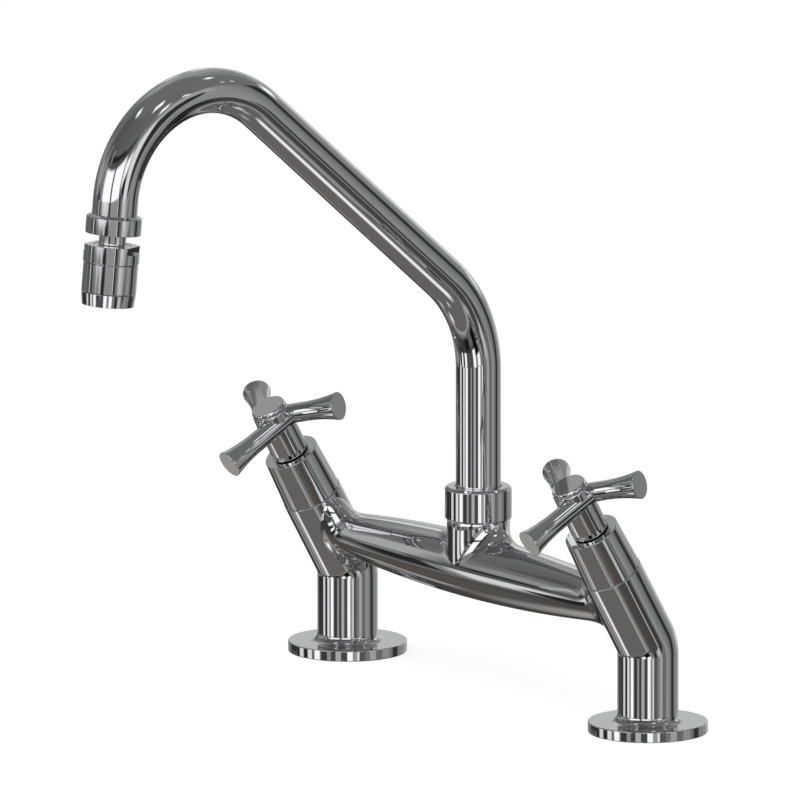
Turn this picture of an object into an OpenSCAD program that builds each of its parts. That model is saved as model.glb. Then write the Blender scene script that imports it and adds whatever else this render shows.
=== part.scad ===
// Bridge kitchen faucet: two legs joined by a barrel-shaped bridge, a swinging
// gooseneck spout with a tilting outlet, and two three-armed quarter-turn handles.
// The origin is on the deck, midway between the legs. X runs from the hot leg to
// the cold leg, the spout reaches forward along -Y, and Z is up.

/* [Layout] */
// Distance between the centres of the two legs
leg_centres = 200; // [196:1:210]
// Height of the corner where each leg's centre line turns to lean forward
lean_corner_z = 35.5; // [34:0.5:38]
// Lean of the valve bodies toward the user, in degrees
lean_angle = 30; // [26:1:32]
// Centre line radius of the bend in each leg
leg_bend_r = 14; // [13.5:0.25:15]
// Distance up the lean from the corner to the centre of the bridge
bridge_place = 18.8; // [18.4:0.2:19.6]
// Thickness of the deck that the back nuts clamp
deck_t = 30; // [20:1:34]

/* [Legs and flanges] */
// Outer diameter of the legs and valve bodies
leg_d = 24.5; // [24.5:0.1:25.5]
// Diameter of the waterway through the legs and tails
waterway_d = 12; // [9:0.5:13]
// Distance up the lean from the corner to the valve body's top face
body_top = 36.6; // [36:0.1:38]
// Distance up the lean from the corner to the seat at the bottom of the valve bore
seat_place = 6; // [5:0.5:6.5]
// Diameter of the bore that takes the cartridge
valve_bore_d = 18.6; // [18.2:0.1:19]
// Outer diameter of the deck flanges
flange_d = 48.2; // [44:0.2:56]
// Thickness of the flat part of a deck flange
flange_t = 4.4; // [3.6:0.1:6]
// Radius of the cove between a flange and its leg
flange_cove_r = 3.3; // [2:0.1:5]
// Thread diameter of the shanks that the back nuts run on
shank_d = 22; // [21.6:0.1:22.2]
// Thread diameter of the tails' free ends, a half inch pipe thread
tail_d = 20.95; // [20.6:0.05:21.2]
// Length of the free end below its shank, down to its bevel
tail_end_l = 15; // [12:0.5:17]
// Length of tail below the deck's top face
tail_drop = 60; // [58:1:80]
// Depth of tail screwed into the foot of a leg
tail_grip = 14; // [10:1:16]
// Size across the flats of a back nut
back_nut_af = 27; // [26:0.5:34]
// Height of a back nut
back_nut_h = 8; // [6:0.5:10]

/* [Bridge] */
// Diameter of the bridge at its middle
bridge_mid_d = 26; // [25.6:0.1:27]
// Diameter of the bridge where it meets the legs
bridge_end_d = 16.6; // [15.8:0.1:18]
// Diameter of the waterway through the bridge
bridge_bore_d = 10; // [7:0.5:11]
// Diameter of the boss that carries the spout
boss_d = 25.6; // [25.6:0.1:26.6]
// Height of the boss's top face above the deck
boss_top_z = 72.1; // [70:0.2:76]
// Diameter of the threaded neck on the boss
boss_neck_d = 22; // [21.6:0.1:22.6]
// Height of the threaded neck on the boss
boss_neck_h = 6.3; // [5.4:0.1:8]
// Bore of the boss, which is the bearing of the spout
boss_bore_d = 16; // [15.6:0.1:16.4]
// Outer diameter of the lock nut
lock_nut_d = 27; // [26.6:0.1:29]
// Height of the lock nut
lock_nut_h = 13; // [12.5:0.1:16]

/* [Spout] */
// Outer diameter of the spout tube
tube_d = 18.2; // [17.6:0.1:18.6]
// Wall thickness of the spout tube
tube_wall = 1.2; // [0.9:0.1:1.4]
// Height of the corner where the riser turns to the slope
spout_corner_z = 157.1; // [150:0.5:180]
// Angle of the sloping stretch from the vertical, in degrees
slope_angle = 49; // [44:1:54]
// Centre line radius of the bend at the foot of the slope
spout_bend_r = 51.4; // [44:0.5:58]
// Centre line radius of the gooseneck
gooseneck_r = 43.6; // [38:0.5:50]
// Distance from the riser forward to the centre of the gooseneck
gooseneck_reach = 138; // [130:1:160]
// Angle of the outlet's axis from the vertical, in degrees
outlet_angle = 5.5; // [0:0.5:12]

/* [Outlet] */
// Straight length of tube between the gooseneck and the end collar
tube_end_l = 5.1; // [4:0.1:12]
// Diameter of the end collar
collar_d = 22.4; // [22:0.1:24]
// Height of the end collar's sloping shoulder
collar_shoulder_h = 2.5; // [1.5:0.1:3]
// Height of the end collar below its shoulder
collar_h = 6.3; // [6:0.1:8]
// Open gap between the end collar and the outlet head
head_gap = 3.8; // [3.6:0.1:5]
// Diameter of the swivel's neck
neck_d = 10.9; // [10:0.1:11.4]
// Diameter of the swivel's ball
ball_d = 16; // [15.6:0.1:16.2]
// Distance from the top of the outlet head down to the ball's centre
ball_depth = 3.9; // [3.7:0.1:4.1]
// Diameter of the outlet head's socket ring
head_ring_d = 22.5; // [22.3:0.1:23.6]
// Height of the socket ring
head_ring_h = 7; // [6.8:0.1:8]
// Diameter of the outlet head's barrel
head_barrel_d = 22; // [21.8:0.1:23]
// Height of the barrel
head_barrel_h = 12; // [11.6:0.1:14]
// Height of the tapered mouth ring
mouth_h = 4.6; // [4:0.1:6]
// Diameter of the mouth ring at its lower end
mouth_end_d = 20.8; // [20.2:0.1:21.4]

/* [Handles] */
// Distance from a valve body's top face to the top of its cover
cover_h = 20.8; // [20.4:0.1:22]
// Diameter of a cover at its lower end
cover_low_d = 24; // [23.9:0.1:24.4]
// Diameter of a cover at its top
cover_top_d = 22.4; // [22.2:0.1:23]
// Diameter of a handle's hub
hub_d = 15.1; // [14.8:0.1:16]
// Height of a handle's hub
hub_h = 21.1; // [20.6:0.1:23]
// Height of the arms' centre line above the foot of the hub
arm_place = 15.4; // [15.2:0.1:15.8]
// Distance from a hub's axis to the middle of an arm's end face
arm_l = 29; // [24:0.5:34]
// Distance by which the line of an arm passes beside a hub's axis
arm_aside = 3.8; // [3.6:0.1:4.4]
// Diameter of an arm next to the hub
arm_root_d = 8; // [7.4:0.1:8.6]
// Diameter of an arm at its end face
arm_end_d = 11.6; // [10:0.1:13]
// Number of arms on a handle
arm_count = 3; // [2:1:4]
// Direction of the first arm round the hub, in degrees from X
arm_first_angle = 35; // [0:1:90]
// Diameter of the index cap
cap_d = 14.4; // [13.6:0.1:14.6]
// Height of the index cap above the hub
cap_h = 2; // [1.6:0.1:3]

/* [Fits] */
// Radial clearance of a shaft that turns in its bore
running_gap = 0.05; // [0.02:0.01:0.08]
// Radial clearance of pieces that are screwed, brazed or pressed together
seat_gap = 0.02; // [0.01:0.005:0.03]
// Gap seen between neighbouring pieces that must not rub
joint_gap = 0.5; // [0.3:0.05:0.6]

/* [Hidden] */

$fn = 96;
// Overrun of every cut past the face that it opens
over = 1;
// A pipe is this much wider round its bends
swell = 0.1;
// Length by which a stretch or step runs into the one that it joins
lap = 0.5;
SIDES = [-1, 1];
HOT = -1;
COLD = 1;

chrome = "#c9cccf";
plated = "#b4b8bc";
brass = "#c8a24a";
steel = "#9aa0a6";
rubber = "#26282a";
ceramic = "#e9e4da";
plastic = "#e8e8e4";

half_centres = leg_centres / 2;
leg_r = leg_d / 2;
bridge_y = -bridge_place * sin(lean_angle);
bridge_z = lean_corner_z + bridge_place * cos(lean_angle);
leg_bend_run = leg_bend_r * tan(lean_angle / 2);
waterway_r = waterway_d / 2;
valve_bore_r = valve_bore_d / 2;
tail_r = tail_d / 2;
shank_r = shank_d / 2;

// Flange
flange_edge = 0.4;
seal_in_r = 15;
seal_out_r = 20;
seal_t = 1.5;

// Below the deck
washer_r = 18;
washer_t = 2;
washer_gap = 0.3;
tail_bevel = 1;
shank_foot = tail_bevel + tail_end_l;

// Bridge barrel, an arc turned about the bridge's axis
bridge_half = half_centres - leg_r;
bridge_sag = (bridge_mid_d - bridge_end_d) / 2;
bridge_arc_r = (bridge_half * bridge_half + bridge_sag * bridge_sag) / (2 * bridge_sag);
bridge_spigot_r = 6.5;
bridge_spigot_end = 9.8;
boss_r = boss_d / 2;
boss_bore_r = boss_bore_d / 2;
boss_neck_top = boss_top_z + boss_neck_h;
bush_foot_z = bridge_z + bridge_bore_d / 2 + joint_gap;

// Spout bearing
bearing_ring_t = 1;
bush_r = boss_bore_r - running_gap;
bush_flange_r = 9.8;
bush_flange_t = 2;
bush_flange_z = boss_neck_top + bearing_ring_t + running_gap;
bush_bore_r = 6;
bush_grip = 10;
lip_gap = 0.3;
bush_ring_shares = [0.3, 0.7];
ring_section_r = 0.9;
bush_l = bush_flange_z - bush_foot_z;
bush_ring_heights = [for (share = bush_ring_shares) bush_foot_z + share * bush_l];
lock_nut_bevel = 1;
lock_nut_joint = 0.3;

// Spout tube
tube_r = tube_d / 2;
tube_in_r = tube_r - tube_wall;
tube_foot_z = bush_flange_z + bush_flange_t;
spout_bend_run = spout_bend_r * tan(slope_angle / 2);
riser_l = spout_corner_z - spout_bend_run - tube_foot_z;
slope_l = (gooseneck_reach - gooseneck_r * cos(slope_angle)) / sin(slope_angle) - spout_bend_run;
gooseneck_angle = 180 - slope_angle - outlet_angle;

// Outlet stations, measured from the end of the gooseneck along the flow
collar_top = tube_end_l;
collar_face = collar_top + collar_shoulder_h + collar_h;
collar_socket_l = 3;
stem_top = collar_top + collar_socket_l;
head_top = collar_face + head_gap;
ball_place = head_top + ball_depth;
ball_r = ball_d / 2;
socket_r = ball_r + running_gap;
stem_r = 6.5;
stem_flange_r = 7.4;
stem_flange_t = 1.4;
stem_bore_r = 2.8;
stem_clip_t = 1;
stem_clip_r = 7.2;
stem_clip_in_r = 5.6;
stem_head = 1.2;
stem_ring_r = 0.75;
stem_ring_station = stem_top + (collar_face - stem_flange_t - stem_top) / 2;
ball_foot = 6.6;

// Outlet head, measured down from the ball's centre
head_line = 0.4;
head_low = head_ring_h - ball_depth;
barrel_top = head_low + head_line;
barrel_foot = barrel_top + head_barrel_h;
mouth_top = barrel_foot + head_line;
mouth_foot = mouth_top + mouth_h;
barrel_thread_r = 9.9;
barrel_thread_top = 0.8;
barrel_in_r = 8.6;
recess_r = 7.6;
recess_depth = 1;
flat_across = 18.3;
flat_h = 2.8;
flat_angle = 30;
seal_top = 5;
seal_foot = 8.5;
seal_bore_r = 4.2;
ledge_r = 7;
ledge_foot = 9.5;
insert_room_r = 9.2;
insert_r = 8;
flow_washer_t = 0.9;
screen_t = 0.5;
mouth_in_r = 8.2;
mouth_sleeve_top = 11.6;
mouth_lip_r = 7.4;
mouth_lip_h = 1;
insert_top = ledge_foot + flow_washer_t + screen_t;
insert_foot = mouth_foot - mouth_lip_h;
insert_hole_r = 0.95;
insert_hole_pitch = 2.7;
insert_rings = 2;

// Valve stations, measured up the lean from the corner of the leg
seal_ring_t = 2.5;
cartridge_foot = seat_place + seal_ring_t;
cartridge_r = valve_bore_r - seat_gap;
disc_bore_r = 7;
disc_r = disc_bore_r - running_gap;
fixed_disc_t = 3;
moving_disc_t = 2.5;
moving_disc_place = cartridge_foot + fixed_disc_t + running_gap;
chamber_top = 26.05;
port_in_r = 2.6;
port_out_r = 5.4;
port_angle = 76;
window_low = 15.5;
window_top = 22;
window_w = 8;
spindle_r = 4;
spindle_bore_r = spindle_r + running_gap;
spindle_foot_r = 2.4;
spindle_flange_r = 5.5;
spindle_flange_t = 2;
tang_l = 8.8;
tang_w = 2.9;
tang_h = 1.4;
tang_gap = 0.1;
cartridge_collar_r = 10.8;
cartridge_collar_t = 1.6;
cartridge_hex_af = 17;
cartridge_hex_h = 5;
cartridge_neck_r = 7;
cartridge_neck_h = 5.8;
cartridge_ring_place = 30;
spindle_ring_place = 40;
o_ring_r = 0.75;
o_ring_room = 1.8;
cartridge_top = body_top + cartridge_collar_t + cartridge_hex_h + cartridge_neck_h;
circlip_t = 1;
circlip_in_r = 3.4;
circlip_out_r = 6;
circlip_gap = 0.1;
circlip_angle = 300;
circlip_place = cartridge_top + circlip_gap;

// Cover and handle
cover_top = body_top + cover_h;
cover_roof_t = 2.4;
cover_in_r = 10;
cover_step_h = 2;
cover_hole_r = 4.8;
cover_edge = 0.3;
hub_foot = cover_top + joint_gap;
hub_top = hub_foot + hub_h;
hub_r = hub_d / 2;
hub_edge = 0.4;
spline_teeth = 16;
spline_depth = 0.4;
spline_start = 52;
spline_grip = 9;
spline_gap = 0.05;
spline_l = hub_foot + spline_grip - spline_start;
spindle_top = hub_foot + spline_grip - joint_gap;
web_t = 3.5;
pocket_r = 5.1;
pocket_foot = hub_foot + spline_grip + web_t;
screw_r = 2.4;
screw_hole_r = 2.65;
screw_head_r = 4.3;
screw_head_h = 3.2;
screw_l = 10;
screw_key_af = 3;
screw_key_depth = 2;
cap_plug_r = pocket_r - seat_gap;
cap_plug_in_r = 4.2;
cap_plug_l = 3;
cap_line_h = 0.4;
cap_line_depth = 0.5;
cap_bevel = 0.5;
// Each arm sets out inside the next one round the hub, and is a little thinner there
arm_start = arm_count > 2 ? -arm_aside * tan(180 / arm_count) : 0;
arm_tuck = 0.6;
arm_tuck_l = 3;
arm_straight = 13;
arm_lead = asin(arm_aside / arm_l);
arm_far = sqrt(arm_l * arm_l - arm_aside * arm_aside);
arm_flare = arm_far - arm_straight;
arm_rise = (arm_end_d - arm_root_d) / 2;
arm_flare_r = (arm_flare * arm_flare + arm_rise * arm_rise) / (2 * arm_rise);

// Places

module at_leg(side)
    translate([side * half_centres, 0, 0]) children();

// Puts the origin on a valve's axis, a distance up the lean from its corner
module up_lean(side, place)
    at_leg(side) translate([0, 0, lean_corner_z]) rotate([lean_angle, 0, 0])
        translate([0, 0, place]) children();

module at_riser()
    translate([0, bridge_y, 0]) children();

// Turns what follows a bend that leans toward -Y
module past_bend(centre_r, angle)
    translate([0, -centre_r, 0]) rotate([angle, 0, 0]) translate([0, centre_r, 0]) children();

// Puts the origin at the end of the gooseneck, with the flow along -Z
module at_gooseneck_end()
    at_riser() translate([0, 0, tube_foot_z + riser_l]) past_bend(spout_bend_r, slope_angle)
        translate([0, 0, slope_l]) past_bend(gooseneck_r, gooseneck_angle) rotate([180, 0, 0])
            children();

module along_outlet(place)
    at_gooseneck_end() translate([0, 0, -place]) children();

// Puts the origin at the ball's centre, with the flow along -Z
module at_ball()
    along_outlet(ball_place) children();

// Shared shapes

module ring(out_r, in_r, h)
    difference() {
        cylinder(r = out_r, h = h);
        translate([0, 0, -over]) cylinder(r = in_r, h = h + 2 * over);
    }

module o_ring(out_r, section_r)
    rotate_extrude() translate([out_r - section_r, 0]) circle(r = section_r);

module bend(centre_r, section_r, angle)
    translate([0, -centre_r, 0]) rotate([90, 0, 90]) rotate_extrude(angle = angle)
        translate([centre_r, 0]) circle(r = section_r);

module hex(af, h)
    rotate([0, 0, 30]) cylinder(r = af / sqrt(3), h = h, $fn = 6);

// Two opposite ports through a ceramic disc
module disc_ports(h)
    for (turn = [0, 180])
        rotate([0, 0, turn - port_angle / 2]) translate([0, 0, -over])
            rotate_extrude(angle = port_angle) translate([port_in_r, 0])
                square([port_out_r - port_in_r, h + 2 * over]);

module splines(tip_r, l)
    linear_extrude(l) polygon([for (i = [0 : 2 * spline_teeth - 1])
        let (r = tip_r - (i % 2) * spline_depth, a = 180 * i / spline_teeth)
        [r * cos(a), r * sin(a)]]);

// Legs, flanges and the parts below the deck

module leg_solid(section_r, top) {
    cylinder(r = section_r, h = lean_corner_z - leg_bend_run + lap);
    translate([0, 0, lean_corner_z - leg_bend_run]) {
        bend(leg_bend_r, section_r + swell, lean_angle);
        past_bend(leg_bend_r, lean_angle) translate([0, 0, -lap])
            cylinder(r = section_r, h = lap + top - leg_bend_run);
    }
}

module leg(side)
    color(chrome) difference() {
        at_leg(side) leg_solid(leg_r, body_top);
        at_leg(side) leg_solid(waterway_r, seat_place + over);
        at_leg(side) translate([0, 0, -over]) cylinder(r = shank_r + seat_gap, h = tail_grip + over);
        up_lean(side, seat_place) cylinder(r = valve_bore_r, h = body_top);
        up_lean(side, bridge_place) rotate([0, -side * 90, 0])
            cylinder(r = bridge_spigot_r, h = leg_r + over);
    }

module flange(side)
    color(chrome) at_leg(side) difference() {
        rotate_extrude() difference() {
            polygon([[leg_r + seat_gap, 0], [flange_d / 2, 0], [flange_d / 2, flange_t - flange_edge],
                [flange_d / 2 - flange_edge, flange_t], [leg_r + flange_cove_r, flange_t],
                [leg_r + seat_gap, flange_t + flange_cove_r]]);
            translate([leg_r + flange_cove_r, flange_t + flange_cove_r]) circle(r = flange_cove_r);
        }
        translate([0, 0, -over]) ring(seal_out_r, seal_in_r, seal_t + over);
    }

module tail(side)
    color(brass) at_leg(side) translate([0, 0, -tail_drop]) difference() {
        union() {
            cylinder(r1 = tail_r - tail_bevel, r2 = tail_r, h = tail_bevel);
            translate([0, 0, tail_bevel]) cylinder(r = tail_r, h = tail_end_l + lap);
            translate([0, 0, shank_foot]) cylinder(r = shank_r, h = tail_drop + tail_grip - shank_foot);
        }
        translate([0, 0, -over]) cylinder(r = waterway_r, h = tail_drop + tail_grip + 2 * over);
    }

module deck_seals()
    color(rubber) for (side = SIDES)
        at_leg(side) ring(seal_out_r - seat_gap, seal_in_r + seat_gap, seal_t);

module back_washers()
    color(steel) for (side = SIDES)
        at_leg(side) translate([0, 0, -deck_t - washer_t]) ring(washer_r, shank_r + washer_gap, washer_t);

module back_nuts()
    color(brass) for (side = SIDES)
        at_leg(side) translate([0, 0, -deck_t - washer_t - back_nut_h]) difference() {
            hex(back_nut_af, back_nut_h);
            translate([0, 0, -over]) cylinder(r = shank_r + seat_gap, h = back_nut_h + 2 * over);
        }

// Bridge

// Barrel of the bridge, an arc turned about X and cut to fit round both legs
module barrel()
    difference() {
        translate([0, bridge_y, bridge_z]) rotate([0, 90, 0]) rotate_extrude() intersection() {
            translate([bridge_mid_d / 2 - bridge_arc_r, 0]) circle(r = bridge_arc_r, $fn = 720);
            translate([0, -bridge_half - over]) square([bridge_mid_d, 2 * (bridge_half + over)]);
        }
        for (side = SIDES)
            up_lean(side, 0) cylinder(r = leg_r, h = body_top);
    }

module bridge()
    color(chrome) difference() {
        union() {
            barrel();
            at_riser() translate([0, 0, bridge_z]) cylinder(r = boss_r, h = boss_top_z - bridge_z);
            at_riser() translate([0, 0, bridge_z])
                cylinder(r = boss_neck_d / 2, h = boss_neck_top - bridge_z);
            translate([-half_centres + bridge_spigot_end, bridge_y, bridge_z]) rotate([0, 90, 0])
                cylinder(r = bridge_spigot_r - seat_gap, h = leg_centres - 2 * bridge_spigot_end);
        }
        translate([-half_centres, bridge_y, bridge_z]) rotate([0, 90, 0])
            cylinder(r = bridge_bore_d / 2, h = leg_centres);
        at_riser() translate([0, 0, bridge_z]) cylinder(r = boss_bore_r, h = boss_neck_top);
    }

module lock_nut()
    color(chrome) at_riser() difference() {
        translate([0, 0, boss_top_z + lock_nut_joint]) {
            cylinder(r = lock_nut_d / 2, h = lock_nut_h - lock_nut_bevel);
            translate([0, 0, lock_nut_h - lock_nut_bevel])
                cylinder(r1 = lock_nut_d / 2, r2 = lock_nut_d / 2 - lock_nut_bevel, h = lock_nut_bevel);
        }
        translate([0, 0, boss_top_z])
            cylinder(r = boss_neck_d / 2 + seat_gap, h = boss_neck_h + running_gap);
        translate([0, 0, boss_top_z]) cylinder(r = bush_flange_r + running_gap,
            h = tube_foot_z + running_gap - boss_top_z);
        translate([0, 0, boss_top_z]) cylinder(r = tube_r + lip_gap, h = lock_nut_h + over);
    }

module bearing_ring()
    color(plastic) at_riser() translate([0, 0, boss_neck_top])
        ring(bush_flange_r, boss_bore_r + running_gap, bearing_ring_t);

// Valves

module cartridge(side)
    color(brass) difference() {
        union() {
            up_lean(side, cartridge_foot) cylinder(r = cartridge_r, h = body_top - cartridge_foot + lap);
            up_lean(side, body_top) {
                cylinder(r = cartridge_collar_r, h = cartridge_collar_t);
                hex(cartridge_hex_af, cartridge_collar_t + cartridge_hex_h);
                cylinder(r = cartridge_neck_r, h = cartridge_top - body_top);
            }
        }
        up_lean(side, cartridge_foot - over)
            cylinder(r = disc_bore_r, h = chamber_top - cartridge_foot + over);
        up_lean(side, cartridge_foot) cylinder(r = spindle_bore_r, h = cartridge_top);
        up_lean(side, window_low) translate([-leg_r, -window_w / 2, 0])
            cube([leg_d, window_w, window_top - window_low]);
        up_lean(side, cartridge_ring_place - o_ring_room / 2)
            ring(leg_r, cartridge_r - 2 * o_ring_r, o_ring_room);
    }

module cartridge_o_rings()
    color(rubber) for (side = SIDES)
        up_lean(side, cartridge_ring_place) o_ring(cartridge_r, o_ring_r);

module seat_seals()
    color(rubber) for (side = SIDES)
        up_lean(side, seat_place) ring(cartridge_r, waterway_r, seal_ring_t);

module fixed_disc(side)
    color(ceramic) up_lean(side, cartridge_foot) difference() {
        cylinder(r = disc_bore_r - seat_gap, h = fixed_disc_t);
        disc_ports(fixed_disc_t);
    }

module cover(side)
    color(chrome) up_lean(side, body_top) difference() {
        union() {
            cylinder(r1 = cover_low_d / 2, r2 = cover_top_d / 2, h = cover_h - cover_edge);
            translate([0, 0, cover_h - cover_edge])
                cylinder(r1 = cover_top_d / 2, r2 = cover_top_d / 2 - cover_edge, h = cover_edge);
        }
        translate([0, 0, -over]) cylinder(r = cartridge_collar_r + seat_gap, h = cover_step_h + over);
        cylinder(r = cover_in_r, h = cover_h - cover_roof_t);
        cylinder(r = cover_hole_r, h = cover_h + over);
    }

// Handles, and what turns with them

module arm()
    rotate([0, 90, 0]) rotate_extrude() difference() {
        polygon([[0, arm_start], [arm_root_d / 2 - arm_tuck, arm_start],
                 [arm_root_d / 2, arm_start + arm_tuck_l], [arm_end_d / 2, arm_start + arm_tuck_l],
                 [arm_end_d / 2, arm_far], [0, arm_far]]);
        translate([arm_root_d / 2, arm_start]) square([arm_end_d, arm_straight - arm_start]);
        translate([arm_root_d / 2 + arm_flare_r, arm_straight]) circle(r = arm_flare_r, $fn = 360);
    }

module handle(side)
    color(chrome) up_lean(side, hub_foot) difference() {
        union() {
            cylinder(r = hub_r, h = hub_h - hub_edge);
            translate([0, 0, hub_h - hub_edge]) cylinder(r1 = hub_r, r2 = hub_r - hub_edge, h = hub_edge);
            for (i = [0 : arm_count - 1])
                rotate([0, 0, arm_first_angle - arm_lead + 360 * i / arm_count])
                    translate([0, arm_aside, arm_place]) arm();
        }
        translate([0, 0, spline_start - hub_foot]) splines(spindle_r + spline_gap, spline_l);
        translate([0, 0, pocket_foot - hub_foot]) cylinder(r = pocket_r, h = hub_h);
        cylinder(r = screw_hole_r, h = hub_h);
    }

module cap(side)
    color(chrome) up_lean(side, hub_top) difference() {
        union() {
            cylinder(r = cap_d / 2 - cap_line_depth, h = cap_line_h);
            translate([0, 0, cap_line_h]) cylinder(r = cap_d / 2, h = cap_h - cap_line_h - cap_bevel);
            translate([0, 0, cap_h - cap_bevel])
                cylinder(r1 = cap_d / 2, r2 = cap_d / 2 - cap_bevel, h = cap_bevel);
            translate([0, 0, -cap_plug_l]) cylinder(r = cap_plug_r, h = cap_plug_l);
        }
        translate([0, 0, -cap_plug_l - over]) cylinder(r = cap_plug_in_r, h = cap_plug_l + over);
    }

module screw(side)
    color(steel) up_lean(side, pocket_foot) difference() {
        union() {
            cylinder(r = screw_head_r, h = screw_head_h);
            translate([0, 0, -screw_l]) cylinder(r = screw_r, h = screw_l);
        }
        translate([0, 0, screw_head_h - screw_key_depth]) hex(screw_key_af, screw_key_depth + over);
    }

module spindle(side)
    color(brass) difference() {
        union() {
            up_lean(side, moving_disc_place + moving_disc_t - tang_h + tang_gap)
                translate([-tang_l / 2, -tang_w / 2, 0]) cube([tang_l, tang_w, tang_h + lap]);
            up_lean(side, moving_disc_place + moving_disc_t + tang_gap)
                cylinder(r = spindle_foot_r, h = chamber_top - moving_disc_place - moving_disc_t - tang_gap);
            up_lean(side, chamber_top - running_gap - spindle_flange_t)
                cylinder(r = spindle_flange_r, h = spindle_flange_t);
            up_lean(side, chamber_top - running_gap - lap)
                cylinder(r = spindle_r, h = spline_start - chamber_top + running_gap + lap);
            up_lean(side, spline_start) splines(spindle_r, spindle_top - spline_start);
        }
        up_lean(side, spindle_ring_place - o_ring_room / 2)
            ring(cartridge_neck_r, spindle_r - 2 * o_ring_r, o_ring_room);
        up_lean(side, circlip_place) ring(cartridge_neck_r, circlip_in_r - seat_gap, circlip_t);
        up_lean(side, pocket_foot - screw_l - joint_gap) cylinder(r = screw_r + seat_gap, h = screw_l);
    }

module moving_disc(side)
    color(ceramic) up_lean(side, moving_disc_place) difference() {
        cylinder(r = disc_r, h = moving_disc_t);
        rotate([0, 0, 90]) disc_ports(moving_disc_t);
        translate([-tang_l / 2 - tang_gap, -tang_w / 2 - tang_gap, moving_disc_t - tang_h])
            cube([tang_l + 2 * tang_gap, tang_w + 2 * tang_gap, tang_h + over]);
    }

module spindle_o_ring(side)
    color(rubber) up_lean(side, spindle_ring_place) o_ring(spindle_r, o_ring_r);

module circlip(side)
    color(steel) up_lean(side, circlip_place) rotate_extrude(angle = circlip_angle)
        translate([circlip_in_r, 0]) square([circlip_out_r - circlip_in_r, circlip_t]);

// Spout

// The tube's centre line swept with one radius: riser, bend, slope, gooseneck and end
module spout_sweep(section_r, overrun)
    at_riser() translate([0, 0, tube_foot_z]) {
        translate([0, 0, -overrun]) cylinder(r = section_r, h = riser_l + overrun + lap);
        translate([0, 0, riser_l]) {
            bend(spout_bend_r, section_r + swell, slope_angle);
            past_bend(spout_bend_r, slope_angle) {
                translate([0, 0, -lap]) cylinder(r = section_r, h = slope_l + 2 * lap);
                translate([0, 0, slope_l]) {
                    bend(gooseneck_r, section_r + swell, gooseneck_angle);
                    past_bend(gooseneck_r, gooseneck_angle) translate([0, 0, -lap])
                        cylinder(r = section_r, h = lap + stem_top + overrun);
                }
            }
        }
    }

module spout_tube()
    color(chrome) difference() {
        spout_sweep(tube_r, 0);
        spout_sweep(tube_in_r, over);
    }

module tail_bush()
    color(plated) at_riser() difference() {
        union() {
            translate([0, 0, bush_foot_z]) cylinder(r = bush_r, h = bush_flange_z - bush_foot_z);
            translate([0, 0, bush_flange_z]) cylinder(r = bush_flange_r, h = bush_flange_t);
            translate([0, 0, tube_foot_z]) cylinder(r = tube_in_r - seat_gap, h = bush_grip);
        }
        translate([0, 0, bush_foot_z - over]) cylinder(r = bush_bore_r, h = boss_top_z);
        for (place = bush_ring_heights)
            translate([0, 0, place - ring_section_r])
                ring(boss_r, bush_r - 2 * ring_section_r + seat_gap, 2 * ring_section_r);
    }

module spout_o_rings()
    color(rubber) for (place = bush_ring_heights)
        at_riser() translate([0, 0, place]) o_ring(bush_r, ring_section_r - seat_gap);

// Outlet

module end_collar()
    color(chrome) difference() {
        union() {
            along_outlet(collar_top + collar_shoulder_h)
                cylinder(r1 = collar_d / 2, r2 = tube_r + joint_gap, h = collar_shoulder_h);
            along_outlet(collar_face) cylinder(r = collar_d / 2, h = collar_h);
        }
        along_outlet(stem_top) cylinder(r = tube_r + seat_gap, h = collar_socket_l + over);
        along_outlet(collar_face + over) cylinder(r = stem_r + running_gap, h = collar_d);
        along_outlet(collar_face + over) cylinder(r = stem_flange_r + running_gap,
            h = stem_flange_t + running_gap + over);
    }

module ball_stem()
    color(chrome) difference() {
        union() {
            along_outlet(collar_face)
                cylinder(r = stem_r, h = collar_face - stem_top + stem_clip_t + stem_head);
            along_outlet(collar_face) cylinder(r = stem_flange_r, h = stem_flange_t);
            at_ball() cylinder(r = neck_d / 2, h = ball_place - collar_face + lap);
            at_ball() intersection() {
                sphere(r = ball_r);
                translate([0, 0, -ball_foot]) cylinder(r = ball_d, h = ball_d + ball_foot);
            }
        }
        at_ball() translate([0, 0, -ball_d]) cylinder(r = stem_bore_r, h = 3 * ball_d);
        along_outlet(stem_ring_station + stem_ring_r)
            ring(collar_d, stem_r - 2 * stem_ring_r, 2 * stem_ring_r);
        along_outlet(stem_top - running_gap) ring(collar_d, stem_clip_in_r, stem_clip_t);
    }

module stem_o_ring()
    color(rubber) along_outlet(stem_ring_station) o_ring(stem_r, stem_ring_r);

module stem_circlip()
    color(steel) along_outlet(stem_top - running_gap) rotate_extrude(angle = circlip_angle)
        translate([stem_clip_in_r, 0]) square([stem_clip_r - stem_clip_in_r, stem_clip_t]);

module socket_ring()
    color(chrome) at_ball() difference() {
        translate([0, 0, -head_low]) cylinder(r = head_ring_d / 2, h = head_ring_h);
        sphere(r = socket_r);
        translate([0, 0, ball_depth - recess_depth]) cylinder(r = recess_r, h = recess_depth + over);
        translate([0, 0, -head_low - over])
            cylinder(r = barrel_thread_r, h = head_low + over - barrel_thread_top + seat_gap);
        for (turn = [0, 180])
            rotate([0, 0, flat_angle + turn])
                translate([flat_across / 2, -head_ring_d, ball_depth - flat_h])
                    cube([head_ring_d, 2 * head_ring_d, flat_h + over]);
    }

module ball_seal()
    color(rubber) at_ball() difference() {
        translate([0, 0, -seal_foot]) cylinder(r = barrel_in_r - seat_gap, h = seal_foot - seal_top);
        sphere(r = socket_r);
        translate([0, 0, -seal_foot - over]) cylinder(r = seal_bore_r, h = seal_foot);
    }

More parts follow.
